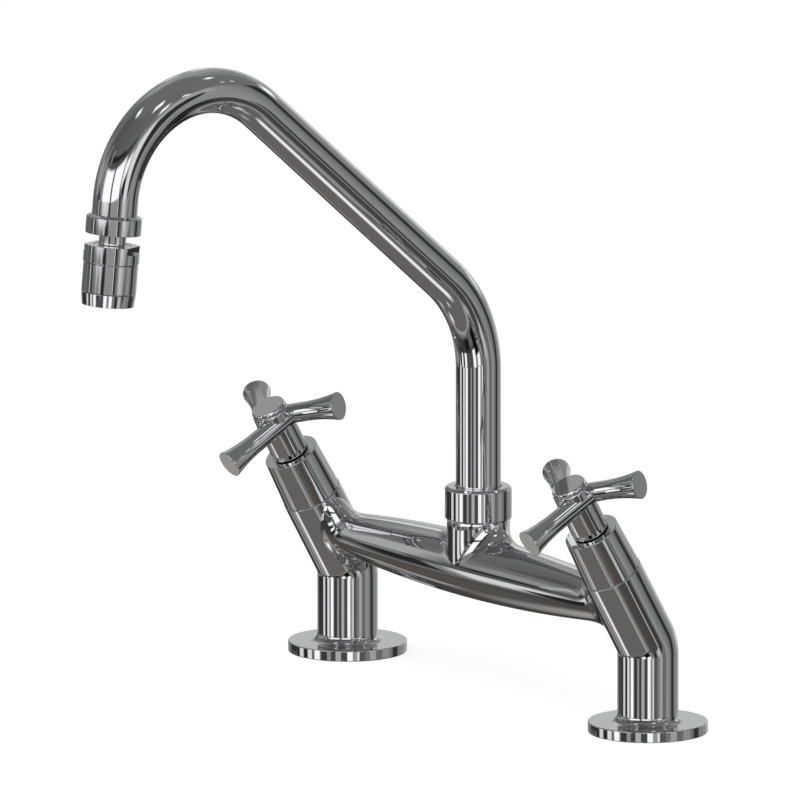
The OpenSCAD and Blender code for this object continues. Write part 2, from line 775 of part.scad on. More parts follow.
module head_barrel()
    color(chrome) at_ball() difference() {
        union() {
            translate([0, 0, -barrel_foot]) cylinder(r = head_barrel_d / 2, h = head_barrel_h);
            translate([0, 0, -barrel_top])
                cylinder(r = barrel_thread_r - seat_gap, h = barrel_top - barrel_thread_top);
        }
        translate([0, 0, -seal_foot]) cylinder(r = barrel_in_r, h = seal_foot + over);
        translate([0, 0, -ledge_foot - over]) cylinder(r = ledge_r, h = ledge_foot);
        translate([0, 0, -barrel_foot - over]) cylinder(r = insert_room_r, h = barrel_foot + over - ledge_foot);
    }

module flow_washer()
    color(rubber) at_ball() translate([0, 0, -ledge_foot - flow_washer_t])
        ring(insert_room_r - seat_gap, ledge_r, flow_washer_t);

// Round holes in rings about a central hole, spaced like a honeycomb
module hole_field(h) {
    cylinder(r = insert_hole_r, h = h);
    for (ring_no = [1 : insert_rings], i = [0 : 6 * ring_no - 1])
        rotate([0, 0, 60 * i / ring_no]) translate([ring_no * insert_hole_pitch, 0, 0])
            cylinder(r = insert_hole_r, h = h);
}

module inlet_screen()
    color(steel) at_ball() translate([0, 0, -ledge_foot - flow_washer_t - screen_t]) difference() {
        cylinder(r = insert_room_r - seat_gap, h = screen_t);
        translate([0, 0, -over]) hole_field(screen_t + 2 * over);
    }

module flow_insert()
    color(plastic) at_ball() translate([0, 0, -insert_foot]) difference() {
        cylinder(r = insert_r, h = insert_foot - insert_top);
        translate([0, 0, -over]) hole_field(insert_foot);
    }

module mouth_ring()
    color(chrome) at_ball() difference() {
        union() {
            translate([0, 0, -mouth_foot])
                cylinder(r1 = mouth_end_d / 2, r2 = head_barrel_d / 2, h = mouth_h);
            translate([0, 0, -mouth_top]) cylinder(r = insert_room_r - seat_gap, h = mouth_top - mouth_sleeve_top);
        }
        translate([0, 0, -insert_foot]) cylinder(r = mouth_in_r, h = insert_foot);
        translate([0, 0, -mouth_foot - over]) cylinder(r = mouth_lip_r, h = mouth_foot);
    }

bridge();
leg(HOT);  // hot_leg
leg(COLD);  // cold_leg
flange(HOT);  // hot_flange
flange(COLD);  // cold_flange
tail(HOT);  // hot_tail
tail(COLD);  // cold_tail
deck_seals();
back_washers();
back_nuts();
lock_nut();
bearing_ring();
cover(HOT);  // hot_cover
cover(COLD);  // cold_cover
cartridge(HOT);  // hot_cartridge
cartridge(COLD);  // cold_cartridge
fixed_disc(HOT);  // hot_fixed_disc
fixed_disc(COLD);  // cold_fixed_disc
seat_seals();
cartridge_o_rings();
handle(HOT);  // hot_handle
cap(HOT);  // hot_cap
screw(HOT);  // hot_screw
spindle(HOT);  // hot_spindle
moving_disc(HOT);  // hot_moving_disc
spindle_o_ring(HOT);  // hot_spindle_o_ring
circlip(HOT);  // hot_circlip
handle(COLD);  // cold_handle
cap(COLD);  // cold_cap
screw(COLD);  // cold_screw
spindle(COLD);  // cold_spindle
moving_disc(COLD);  // cold_moving_disc
spindle_o_ring(COLD);  // cold_spindle_o_ring
circlip(COLD);  // cold_circlip
spout_tube();
tail_bush();
spout_o_rings();
end_collar();
ball_stem();
stem_o_ring();
stem_circlip();
socket_ring();
ball_seal();
head_barrel();
flow_washer();
inlet_screen();
flow_insert();
mouth_ring();
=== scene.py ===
import math

import bpy
from bpy.props import FloatProperty, FloatVectorProperty, PointerProperty
from bpy.types import Operator, Panel, PropertyGroup
from mathutils import Matrix, Vector


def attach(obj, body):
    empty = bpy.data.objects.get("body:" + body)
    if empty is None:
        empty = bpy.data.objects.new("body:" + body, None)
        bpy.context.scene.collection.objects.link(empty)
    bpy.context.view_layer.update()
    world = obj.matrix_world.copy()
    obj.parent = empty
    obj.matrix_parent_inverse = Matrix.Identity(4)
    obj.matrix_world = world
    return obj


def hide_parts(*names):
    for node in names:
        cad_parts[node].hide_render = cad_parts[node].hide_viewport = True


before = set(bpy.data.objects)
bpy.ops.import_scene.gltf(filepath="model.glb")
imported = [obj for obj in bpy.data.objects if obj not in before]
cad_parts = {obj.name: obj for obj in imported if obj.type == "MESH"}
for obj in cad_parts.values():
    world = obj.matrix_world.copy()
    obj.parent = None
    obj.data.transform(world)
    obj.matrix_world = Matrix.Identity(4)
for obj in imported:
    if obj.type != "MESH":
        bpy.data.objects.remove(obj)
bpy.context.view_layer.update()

bl_info = {
    "name": "Bridge kitchen faucet",
    "version": (1, 0, 0),
    "blender": (4, 5, 0),
    "location": "3D View > Sidebar > Faucet",
    "description": "Polished chrome bridge faucet with a swinging spout",
    "category": "Object",
}

MM = 0.001
SIDES = {"hot": -1, "cold": 1}
MERGE = 0.002 * MM
SHARP = math.radians(32)
FACETS = 96
FINE_FACETS = 128

# Fixed details of the castings and turned pieces, in millimetres
FIT = 0.02
JOINT_LINE = 0.3
CAST_EDGE = 0.3
FLANGE_EDGE = 0.4
VALVE_BORE_R = 9.3
SEAT_PLACE = 6
HANDLE_GAP = 0.5
BOSS_NECK_R = 11
BOSS_NECK_TOP = 78.4
BOSS_BORE_R = 8
BOSS_BORE_FOOT = 5.5
BUSH_FLANGE_TOP = 81.45
TUBE_WALL = 1.2
TUBE_TUCK = 3
COLLAR_SHOULDER = 1.0
COLLAR_FACE = 13.2
COLLAR_TOP = 5.5
STEM_FOOT = 21.6
BALL_FACE = 3.8
HEAD_TOP = 3.9
HEAD_LOW = 3.1
BARREL_TOP = 3.5
BARREL_FOOT = 15.1
MOUTH_TOP = 15.4
MOUTH_FOOT = 20.5

# A handle's arms. The first one's heading is in degrees
ARM_COUNT = 3
ARM_HEADING = 35
ARM_STRAIGHT = 13

# How finely bends and fillets are divided
LEG_BEND_STEPS = 16
SPOUT_BEND_STEPS = 36
GOOSENECK_STEPS = 72
COVE_STEPS = 8
BARREL_STEPS = 36
LEG_FILLET_STEPS = 12
BOSS_FILLET_STEPS = 10
BOSS_WALL_STEPS = 5
BOSS_QUARTER = 30
UNDERSIDE_STEPS = 54

# One band of Blender's wave texture, in its own units at a scale of 1
WAVE_BAND = 0.314

# The studio's room, in metres, and the degrees that one facet of a bent card takes
ROOM_R = 12.0
CARD_GAP = 0.05
CARD_FACET = 3
FLOOR_DROP = 12.7
FLOOR_SIZE = 60


# Colours and nodes

def linear_colour(code):
    """Turns an sRGB hex colour to the linear values that shaders use."""
    parts = [int(code[i:i + 2], 16) / 255 for i in (1, 3, 5)]
    return [p / 12.92 if p <= 0.04045 else ((p + 0.055) / 1.055) ** 2.4 for p in parts]


def add_node(tree, kind, links=None, values=None, **settings):
    """Adds a node, sets its settings and socket values, and links its inputs."""
    node = tree.nodes.new(kind)
    for name, value in settings.items():
        setattr(node, name, value)
    for name, value in (values or {}).items():
        node.inputs[name].default_value = value
    for name, socket in (links or {}).items():
        tree.links.new(socket, node.inputs[name])
    return node


def new_material(name):
    """Starts a node material with an empty tree."""
    material = bpy.data.materials.new(name)
    material.use_nodes = True
    material.node_tree.nodes.clear()
    return material, material.node_tree


def close_material(tree, shader):
    add_node(tree, "ShaderNodeOutputMaterial", {"Surface": shader.outputs[0]})


def polished_chrome():
    """Bright chromium plate over nickel on brass, buffed before plating. It mirrors the
    room sharply, and only a faint haze of fine buffing marks softens the mirror."""
    finish = bpy.context.scene.faucet_finish
    material, tree = new_material("polished_chrome_plate")
    place = add_node(tree, "ShaderNodeTexCoord")
    haze = add_node(tree, "ShaderNodeTexNoise", {"Vector": place.outputs["Object"]},
                    {"Scale": 1 / (14 * MM), "Detail": 3.0, "Roughness": 0.55})
    gloss = add_node(tree, "ShaderNodeMapRange", {"Value": haze.outputs["Fac"]},
                     {"From Min": 0.3, "From Max": 0.7, "To Min": finish.chrome_gloss,
                      "To Max": finish.chrome_haze})
    wave = add_node(tree, "ShaderNodeTexNoise", {"Vector": place.outputs["Object"]},
                    {"Scale": 1 / (9 * MM), "Detail": 1.0, "Roughness": 0.4})
    # The buffed brass is flat to a few thousandths of a millimetre
    bump = add_node(tree, "ShaderNodeBump", {"Height": wave.outputs["Fac"]},
                    {"Strength": 0.25, "Distance": 0.004 * MM})
    shader = add_node(tree, "ShaderNodeBsdfPrincipled",
                      {"Roughness": gloss.outputs["Result"], "Normal": bump.outputs["Normal"]},
                      {"Base Color": (*finish.chrome_colour, 1), "Metallic": 1.0})
    close_material(tree, shader)
    return material


def turned_brass():
    """Free-cutting brass left bare below the deck and inside. The lathe tool leaves fine
    rings, and handling dulls it in patches."""
    finish = bpy.context.scene.faucet_finish
    material, tree = new_material("turned_brass")
    place = add_node(tree, "ShaderNodeTexCoord")
    # Tool marks 0.4 mm apart, drawn coarser than the real 0.1 mm so that they show
    marks = add_node(tree, "ShaderNodeTexWave", {"Vector": place.outputs["Object"]},
                     {"Scale": WAVE_BAND / (0.4 * MM), "Distortion": 0.6, "Detail": 1.0},
                     bands_direction="Z")
    dull = add_node(tree, "ShaderNodeTexNoise", {"Vector": place.outputs["Object"]},
                    {"Scale": 1 / (6 * MM), "Detail": 4.0})
    tone = add_node(tree, "ShaderNodeValToRGB", {"Fac": dull.outputs["Fac"]})
    tone.color_ramp.elements[0].color = (*linear_colour("#9C7A35"), 1)
    tone.color_ramp.elements[1].color = (*finish.brass_colour, 1)
    gloss = add_node(tree, "ShaderNodeMapRange", {"Value": dull.outputs["Fac"]},
                     {"To Min": 0.42, "To Max": 0.22})
    bump = add_node(tree, "ShaderNodeBump", {"Height": marks.outputs["Fac"]},
                    {"Strength": 0.5, "Distance": 0.03 * MM})
    shader = add_node(tree, "ShaderNodeBsdfPrincipled",
                      {"Base Color": tone.outputs["Color"], "Roughness": gloss.outputs["Result"],
                       "Normal": bump.outputs["Normal"]}, {"Metallic": 1.0})
    close_material(tree, shader)
    return material


def stainless_steel():
    """Rolled and stamped stainless steel for screws, clips, washers and the screen. It is
    satin, with a fine grain."""
    finish = bpy.context.scene.faucet_finish
    material, tree = new_material("stamped_stainless_steel")
    place = add_node(tree, "ShaderNodeTexCoord")
    stretch = add_node(tree, "ShaderNodeMapping", {"Vector": place.outputs["Object"]},
                       {"Scale": (1.0, 12.0, 1.0)})
    grain = add_node(tree, "ShaderNodeTexNoise", {"Vector": stretch.outputs["Vector"]},
                     {"Scale": 1 / (3 * MM), "Detail": 6.0})
    gloss = add_node(tree, "ShaderNodeMapRange", {"Value": grain.outputs["Fac"]},
                     {"To Min": 0.2, "To Max": 0.45})
    shader = add_node(tree, "ShaderNodeBsdfPrincipled", {"Roughness": gloss.outputs["Result"]},
                      {"Base Color": (*finish.steel_colour, 1), "Metallic": 1.0})
    close_material(tree, shader)
    return material


def moulded_rubber():
    """Black EPDM rubber, compression moulded. It is nearly matt, with a dusty bloom."""
    finish = bpy.context.scene.faucet_finish
    material, tree = new_material("moulded_black_rubber")
    place = add_node(tree, "ShaderNodeTexCoord")
    bloom = add_node(tree, "ShaderNodeTexNoise", {"Vector": place.outputs["Object"]},
                     {"Scale": 1 / (2.5 * MM), "Detail": 5.0})
    tone = add_node(tree, "ShaderNodeValToRGB", {"Fac": bloom.outputs["Fac"]})
    tone.color_ramp.elements[0].color = (*finish.rubber_colour, 1)
    tone.color_ramp.elements[1].color = (*linear_colour("#3A3B3C"), 1)
    bump = add_node(tree, "ShaderNodeBump", {"Height": bloom.outputs["Fac"]},
                    {"Strength": 0.3, "Distance": 0.02 * MM})
    shader = add_node(tree, "ShaderNodeBsdfPrincipled",
                      {"Base Color": tone.outputs["Color"], "Normal": bump.outputs["Normal"]},
                      {"Roughness": 0.7, "IOR": 1.5})
    close_material(tree, shader)
    return material


def sintered_ceramic():
    """Alumina ceramic, pressed, fired and lapped. It is off-white and faintly speckled."""
    finish = bpy.context.scene.faucet_finish
    material, tree = new_material("sintered_alumina")
    place = add_node(tree, "ShaderNodeTexCoord")
    speck = add_node(tree, "ShaderNodeTexNoise", {"Vector": place.outputs["Object"]},
                     {"Scale": 1 / (0.8 * MM), "Detail": 3.0})
    tone = add_node(tree, "ShaderNodeValToRGB", {"Fac": speck.outputs["Fac"]})
    tone.color_ramp.elements[0].color = (*linear_colour("#D9D3C6"), 1)
    tone.color_ramp.elements[1].color = (*finish.ceramic_colour, 1)
    shader = add_node(tree, "ShaderNodeBsdfPrincipled", {"Base Color": tone.outputs["Color"]},
                      {"Roughness": 0.25, "IOR": 1.76})
    close_material(tree, shader)
    return material


def moulded_acetal():
    """Acetal plastic, injection moulded: milky white, smooth and slightly waxy."""
    finish = bpy.context.scene.faucet_finish
    material, tree = new_material("moulded_white_acetal")
    place = add_node(tree, "ShaderNodeTexCoord")
    flow = add_node(tree, "ShaderNodeTexNoise", {"Vector": place.outputs["Object"]},
                    {"Scale": 1 / (4 * MM), "Detail": 2.0})
    tone = add_node(tree, "ShaderNodeValToRGB", {"Fac": flow.outputs["Fac"]})
    tone.color_ramp.elements[0].color = (*linear_colour("#DADAD4"), 1)
    tone.color_ramp.elements[1].color = (*finish.plastic_colour, 1)
    gloss = add_node(tree, "ShaderNodeMapRange", {"Value": flow.outputs["Fac"]},
                     {"To Min": 0.3, "To Max": 0.42})
    shader = add_node(tree, "ShaderNodeBsdfPrincipled",
                      {"Base Color": tone.outputs["Color"], "Roughness": gloss.outputs["Result"]},
                      {"IOR": 1.48})
    close_material(tree, shader)
    return material


MAKERS = {"chrome": polished_chrome, "brass": turned_brass, "steel": stainless_steel,
          "rubber": moulded_rubber, "ceramic": sintered_ceramic, "plastic": moulded_acetal}
MATERIALS = {}


def material_for(slot):
    if slot not in MATERIALS:
        MATERIALS[slot] = MAKERS[slot]()
    return MATERIALS[slot]


# Sizes and places

def length(name, description, millimetres):
    """A size that a user may change, kept in metres."""
    return FloatProperty(name=name, description=description, default=millimetres * MM,
                         min=0.0001, unit="LENGTH", subtype="DISTANCE", precision=5)


def turn(name, description, degrees):
    return FloatProperty(name=name, description=description, default=math.radians(degrees),
                         unit="ROTATION", subtype="ANGLE")


def tint(name, description, code):
    return FloatVectorProperty(name=name, description=description, subtype="COLOR", size=3,
                               min=0, max=1, default=linear_colour(code))


class FaucetSizes(PropertyGroup):
    """The faucet's sizes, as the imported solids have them"""
    leg_centres: length("Leg centres", "Distance between the centres of the legs", 200)
    leg_diameter: length("Leg diameter", "Outer diameter of the legs and valve bodies", 24.5)
    lean_corner: length("Lean corner", "Height of the corner in each leg's centre line", 35.5)
    lean_angle: turn("Lean angle", "Lean of the valve bodies toward the user", 30)
    leg_bend: length("Leg bend", "Centre line radius of the bend in each leg", 14)
    body_top: length("Body top", "Distance up the lean to the valve body's top", 36.6)
    flange_diameter: length("Flange diameter", "Outer diameter of the deck flanges", 48.2)
    flange_thickness: length("Flange thickness", "Thickness of a deck flange", 4.4)
    flange_cove: length("Flange cove", "Radius between a flange and its leg", 3.3)
    bridge_place: length("Bridge place", "Distance up the lean to the bridge", 18.8)
    bridge_middle: length("Bridge middle", "Diameter of the bridge at its middle", 26)
    bridge_end: length("Bridge end", "Diameter of the bridge at the legs", 16.6)
    bridge_fillet: length("Bridge fillet", "Radius where the bridge's top meets a leg", 11)
    bridge_web: length("Bridge web", "Radius where the bridge's underside meets a leg", 14)
    boss_diameter: length("Boss diameter", "Diameter of the boss under the spout", 25.6)
    boss_top: length("Boss top", "Height of the boss's top face", 72.1)
    boss_fillet: length("Boss fillet", "Radius in front of the boss", 7)
    boss_web: length("Boss web", "Radius behind the boss", 11)
    nut_diameter: length("Lock nut diameter", "Outer diameter of the lock nut", 27)
    nut_height: length("Lock nut height", "Height of the lock nut", 13)
    tube_diameter: length("Tube diameter", "Outer diameter of the spout tube", 18.2)
    spout_corner: length("Spout corner", "Height of the corner above the riser", 157.1)
    slope_angle: turn("Slope angle", "Angle of the sloping stretch from the vertical", 49)
    spout_bend: length("Spout bend", "Centre line radius of the bend above the riser", 51.4)
    gooseneck_radius: length("Gooseneck radius", "Centre line radius of the gooseneck", 43.6)
    gooseneck_reach: length("Gooseneck reach", "Distance from the riser to its centre", 138)
    outlet_angle: turn("Outlet angle", "Angle of the outlet from the vertical", 5.5)
    collar_diameter: length("Collar diameter", "Diameter of the spout's end collar", 22.4)
    neck_diameter: length("Neck diameter", "Diameter of the swivel's neck", 10.9)
    ball_diameter: length("Ball diameter", "Diameter of the swivel's ball", 16)
    ring_diameter: length("Socket ring diameter", "Diameter of the head's top ring", 22.5)
    barrel_diameter: length("Barrel diameter", "Diameter of the outlet head", 22)
    mouth_diameter: length("Mouth diameter", "Diameter of the mouth ring's lower end", 20.8)
    cover_low: length("Cover foot", "Diameter of a valve cover at its foot", 24)
    cover_high: length("Cover top", "Diameter of a valve cover at its top", 22.4)
    cover_height: length("Cover height", "Height of a valve cover", 20.8)
    hub_diameter: length("Hub diameter", "Diameter of a handle's hub", 15.1)
    hub_height: length("Hub height", "Height of a handle's hub", 21.1)
    arm_place: length("Arm place", "Height of the arms above the hub's foot", 15.4)
    arm_length: length("Arm length", "Distance from a hub's axis to an arm's end", 29)
    arm_aside: length("Arm offset", "Distance from an arm's line to the hub's axis", 3.8)
    arm_root: length("Arm root", "Diameter of an arm at the hub", 8)
    arm_end: length("Arm end", "Diameter of an arm at its end", 11.6)
    cap_diameter: length("Cap diameter", "Diameter of the index cap", 14.4)


class FaucetFinish(PropertyGroup):
    """The colours and gloss of its materials"""
    chrome_colour: tint("Chrome", "Colour of the chromium plate", "#D8D9DA")
    chrome_gloss: FloatProperty(name="Chrome gloss", default=0.02, min=0, max=1,
                                description="Roughness of the clearest chrome")
    chrome_haze: FloatProperty(name="Chrome haze", default=0.045, min=0, max=1,
                               description="Roughness where buffing left a haze")
    brass_colour: tint("Brass", "Colour of the bare brass", "#C9A552")
    steel_colour: tint("Steel", "Colour of the stainless steel", "#B9BBBD")
    rubber_colour: tint("Rubber", "Colour of the seals", "#242526")
    ceramic_colour: tint("Ceramic", "Colour of the valve discs", "#EEE9DE")
    plastic_colour: tint("Plastic", "Colour of the acetal pieces", "#ECECE8")


class FaucetStudio(PropertyGroup):
    """The camera and the floor"""
    lens: FloatProperty(name="Lens", description="Focal length in millimetres", default=1650)
    camera_place: FloatVectorProperty(name="Camera place", description="Where the camera is",
                                      size=3, unit="LENGTH", subtype="TRANSLATION",
                                      default=(11.5147, -8.7391, 3.0286))
    floor_colour: tint("Floor", "Colour of the floor", "#F4F4F4")


def shift(x=0.0, y=0.0, z=0.0):
    return Matrix.Translation((x, y, z))


def up_lean(side, place):
    """A frame on a valve's leaning axis, a distance up from the corner of its leg."""
    size = bpy.context.scene.faucet_sizes
    return (shift(side * size.leg_centres / 2, 0, size.lean_corner)
            @ Matrix.Rotation(size.lean_angle, 4, "X") @ shift(z=place))


def past_bend(radius, angle):
    """The frame at the end of a bend that starts upright and leans toward -Y."""
    return shift(y=-radius) @ Matrix.Rotation(angle, 4, "X") @ shift(y=radius)


def riser_y():
    """Where the spout's riser and the bridge stand, in front of the legs' feet."""
    size = bpy.context.scene.faucet_sizes
    return -size.bridge_place * math.sin(size.lean_angle)


def bridge_z():
    size = bpy.context.scene.faucet_sizes
    return size.lean_corner + size.bridge_place * math.cos(size.lean_angle)


def slope_length():
    size = bpy.context.scene.faucet_sizes
    reach = size.gooseneck_reach - size.gooseneck_radius * math.cos(size.slope_angle)
    return (reach / math.sin(size.slope_angle)
            - size.spout_bend * math.tan(size.slope_angle / 2))


def riser_length():
    size = bpy.context.scene.faucet_sizes
    run = size.spout_bend * math.tan(size.slope_angle / 2)
    return size.spout_corner - run - BUSH_FLANGE_TOP * MM


def along_outlet(place):
    """A frame on the outlet's axis, a distance past the gooseneck, with the flow along -Z."""
    size = bpy.context.scene.faucet_sizes
    over = math.pi - size.slope_angle - size.outlet_angle
    return (shift(y=riser_y(), z=BUSH_FLANGE_TOP * MM + riser_length())
            @ past_bend(size.spout_bend, size.slope_angle) @ shift(z=slope_length())
            @ past_bend(size.gooseneck_radius, over) @ Matrix.Rotation(math.pi, 4, "X")
            @ shift(z=-place))


def at_ball():
    return along_outlet(STEM_FOOT * MM)


# Modelling steps

def start_ring(name, radius, z=0.0, filled=False, sides=FACETS):
    """Starts a piece from a circle about Z and goes into edit mode with it selected."""
    bpy.ops.object.select_all(action="DESELECT")
    bpy.ops.mesh.primitive_circle_add(vertices=sides, radius=radius, location=(0, 0, z),
                                      fill_type="NGON" if filled else "NOTHING")
    piece = bpy.context.object
    piece.name = piece.data.name = name
    bpy.ops.object.transform_apply(location=True, rotation=True, scale=True)
    bpy.ops.object.mode_set(mode="EDIT")
    bpy.ops.mesh.select_all(action="SELECT")
    return piece


def turn_outline(name, outline, closed=True, sides=FACETS):
    """Builds a turned piece ring by ring from (radius, height) pairs in millimetres."""
    points = [(r * MM, z * MM) for r, z in outline]
    if closed:
        points.append(points[0])
    piece = start_ring(name, *points[0], filled=not closed, sides=sides)
    for (r0, z0), (r1, z1) in zip(points, points[1:]):
        bpy.ops.mesh.extrude_region_move(TRANSFORM_OT_translate={"value": (0, 0, z1 - z0)})
        bpy.ops.transform.resize(value=(r1 / r0, r1 / r0, 1), center_override=(0, 0, z1))
    return piece


def round_edges(radius, steps=3, sharpness=SHARP):
    """Bevels every sharp edge of the piece in edit mode."""
    bpy.ops.mesh.select_all(action="SELECT")
    bpy.ops.mesh.remove_doubles(threshold=MERGE)
    bpy.ops.mesh.normals_make_consistent(inside=False)
    bpy.ops.mesh.select_mode(type="EDGE")
    bpy.ops.mesh.select_all(action="DESELECT")
    bpy.ops.mesh.edges_select_sharp(sharpness=sharpness)
    bpy.ops.mesh.bevel(offset=radius, segments=steps, affect="EDGES", clamp_overlap=True)


def apply_modifier(piece, kind, **settings):
    modifier = piece.modifiers.new(kind, kind)
    for name, value in settings.items():
        setattr(modifier, name, value)
    bpy.ops.object.modifier_apply(modifier=modifier.name)


def only(piece):
    """Makes one piece both the active and the only selected one."""
    bpy.ops.object.select_all(action="DESELECT")
    bpy.context.view_layer.objects.active = piece
    piece.select_set(True)


def settle(piece, place, body, slot, *nodes, edge=None, flat=True):
    """Finishes a piece: edges, normals, place, material, and the solids that it stands for."""
    if bpy.context.mode != "OBJECT":
        if edge:
            round_edges(edge * MM)
        bpy.ops.mesh.select_mode(type="VERT")
        bpy.ops.mesh.select_all(action="SELECT")
        bpy.ops.mesh.remove_doubles(threshold=MERGE)
        bpy.ops.mesh.normals_make_consistent(inside=False)
        bpy.ops.object.mode_set(mode="OBJECT")
    only(piece)
    piece.matrix_world = place
    bpy.ops.object.transform_apply(location=True, rotation=True, scale=True)
    bpy.ops.object.shade_smooth_by_angle(angle=SHARP)
    if flat:
        apply_modifier(piece, "WEIGHTED_NORMAL", keep_sharp=True)
    piece.data.materials.clear()
    piece.data.materials.append(material_for(slot))
    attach(piece, body)
    if nodes:
        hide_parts(*nodes)
    bpy.ops.object.select_all(action="DESELECT")
    return piece


def sweep_step(distance, frame_now):
    """Extrudes the selected ring straight along a frame's Z axis."""
    step = frame_now.to_3x3() @ Vector((0, 0, distance))
    bpy.ops.mesh.extrude_region_move(TRANSFORM_OT_translate={"value": step})


def sweep_bend(radius, angle, frame_now, steps):
    """Spins the selected ring round a bend that leans toward -Y."""
    centre = frame_now @ Vector((0, -radius, 0))
    bpy.ops.mesh.spin(steps=steps, angle=angle, center=centre, axis=(-1, 0, 0))


class FaucetTool:
    """What the faucet's operators share."""
    bl_options = {"REGISTER", "UNDO"}

    @classmethod
    def poll(cls, context):
        return context.mode == "OBJECT"


class FAUCET_OT_legs(FaucetTool, Operator):
    """Model both legs, each a straight foot, a bend and a leaning valve body"""
    bl_idname = "faucet.legs"
    bl_label = "Legs"

    def execute(self, context):
        size = context.scene.faucet_sizes
        run = size.leg_bend * math.tan(size.lean_angle / 2)
        for name, side in SIDES.items():
            piece = start_ring(f"{name}_leg_casting", size.leg_diameter / 2, filled=True)
            foot = Matrix.Identity(4)
            sweep_step(size.lean_corner - run, foot)
            foot = foot @ shift(z=size.lean_corner - run)
            sweep_bend(size.leg_bend, size.lean_angle, foot, LEG_BEND_STEPS)
            foot = foot @ past_bend(size.leg_bend, size.lean_angle)
            sweep_step(size.body_top - run, foot)
            # The valve bore, seen as a fine ledge round the cover
            bpy.ops.mesh.inset(thickness=size.leg_diameter / 2 - VALVE_BORE_R * MM)
            sweep_step(SEAT_PLACE * MM - size.body_top, foot)
            settle(piece, shift(side * size.leg_centres / 2), "faucet_body", "chrome",
                   f"{name}_leg", edge=CAST_EDGE)
        return {"FINISHED"}


class FAUCET_OT_flanges(FaucetTool, Operator):
    """Turn the two deck flanges, with a cove up to each leg"""
    bl_idname = "faucet.flanges"
    bl_label = "Deck flanges"

    def execute(self, context):
        size = context.scene.faucet_sizes
        out_r, thick = size.flange_diameter / 2 / MM, size.flange_thickness / MM
        leg_r, cove = size.leg_diameter / 2 / MM, size.flange_cove / MM
        bore_r = leg_r + FIT
        angles = [math.pi / 2 * i / COVE_STEPS for i in range(COVE_STEPS)]
        hollow = [(leg_r + cove * (1 - math.sin(a)), thick + cove * (1 - math.cos(a)))
                  for a in angles]
        outline = [(bore_r, 0), (out_r, 0), (out_r, thick), *hollow, (bore_r, thick + cove)]
        for name, side in SIDES.items():
            piece = turn_outline(f"{name}_deck_flange", outline, sides=FINE_FACETS)
            settle(piece, shift(side * size.leg_centres / 2), "faucet_body", "chrome",
                   f"{name}_flange", edge=FLANGE_EDGE)
        return {"FINISHED"}


def roll(centre, start, end, ball, steps):
    """Points on a ball from the place where it touches one face to the other."""
    first, last = (start - centre).normalized(), (end - centre).normalized()
    return [centre + first.slerp(last, i / steps) * ball for i in range(1, steps + 1)]


class BridgeShape:
    """Works out where the bridge's barrel meets its fillets.

    A fillet is the path of a ball that rolls in the corner, so that the mirror runs on
    without a break. Places are measured from the barrel's middle. Theta goes round the
    barrel from straight up toward the back, and phi round the boss from the right."""

    def __init__(self, size):
        self.size = size
        self.leg_r, self.half_span = size.leg_diameter / 2, size.leg_centres / 2
        self.boss_r, self.mid_r = size.boss_diameter / 2, size.bridge_middle / 2
        run = self.half_span - self.leg_r
        sag = (size.bridge_middle - size.bridge_end) / 2
        self.arc_r = (run * run + sag * sag) / (2 * sag)
        self.top = size.boss_top - bridge_z()

    def radius_at(self, x, grown=0.0):
        """The radius of the barrel, or of a skin that is grown out from it."""
        return self.mid_r - self.arc_r + math.sqrt((self.arc_r + grown) ** 2 - x * x)

    def at_leg(self, theta):
        """The barrel's end, and the fillet's points from there to the leg. Their Z runs up
        the leg's lean."""
        across = math.sin(theta + self.size.lean_angle)
        along = math.cos(theta + self.size.lean_angle)
        under = (1 - math.cos(theta)) / 2
        ball = (self.size.bridge_fillet
                + (self.size.bridge_web - self.size.bridge_fillet) * under)
        out = self.leg_r + ball
        # Each try brings the ball nearer to touching both the leg and the barrel
        tries = 30
        for _ in range(tries):
            reach = self.radius_at(self.half_span - out, ball)
            out = math.sqrt((self.leg_r + ball) ** 2 - (reach * across) ** 2)
        centre = Vector((out, reach * across, reach * along))
        x = (self.half_span - out) * self.arc_r / (self.arc_r + ball)
        low = self.radius_at(x)
        on_barrel = Vector((self.half_span - x, low * across, low * along))
        share = self.leg_r / (self.leg_r + ball)
        on_leg = Vector((out * share, reach * across * share, reach * along))
        points = roll(centre, on_barrel, on_leg, ball, LEG_FILLET_STEPS)
        return x, [Vector((self.half_span - p.x, p.y, p.z)) for p in points]

    def at_boss(self, phi):
        """Theta and the place where the ball touches the barrel, its place on the boss, its
        centre and its radius."""
        # The ball grows smoothly from the boss's front to its back
        front, width = -0.3, 0.9
        back = min(max((math.sin(phi) - front) / width, 0), 1)
        ball = (self.size.boss_fillet
                + (self.size.boss_web - self.size.boss_fillet) * back * back * (3 - 2 * back))
        x = (self.boss_r + ball) * math.cos(phi)
        y = (self.boss_r + ball) * math.sin(phi)
        reach = self.radius_at(x, ball)
        z = math.sqrt(max(reach * reach - y * y, 0))
        x_barrel = x * self.arc_r / (self.arc_r + ball)
        theta = math.atan2(y, z)
        low = self.radius_at(x_barrel)
        on_barrel = Vector((x_barrel, low * math.sin(theta), low * math.cos(theta)))
        # Beside the boss the fillet is cut short a little below the boss's top face
        rim = 0.6 * MM
        rise = min(0, self.top - rim - z)
        out = self.boss_r + ball - math.sqrt(ball * ball - rise * rise)
        on_boss = Vector((out * math.cos(phi), out * math.sin(phi), z + rise))
        return theta, on_barrel, on_boss, Vector((x, y, z)), ball


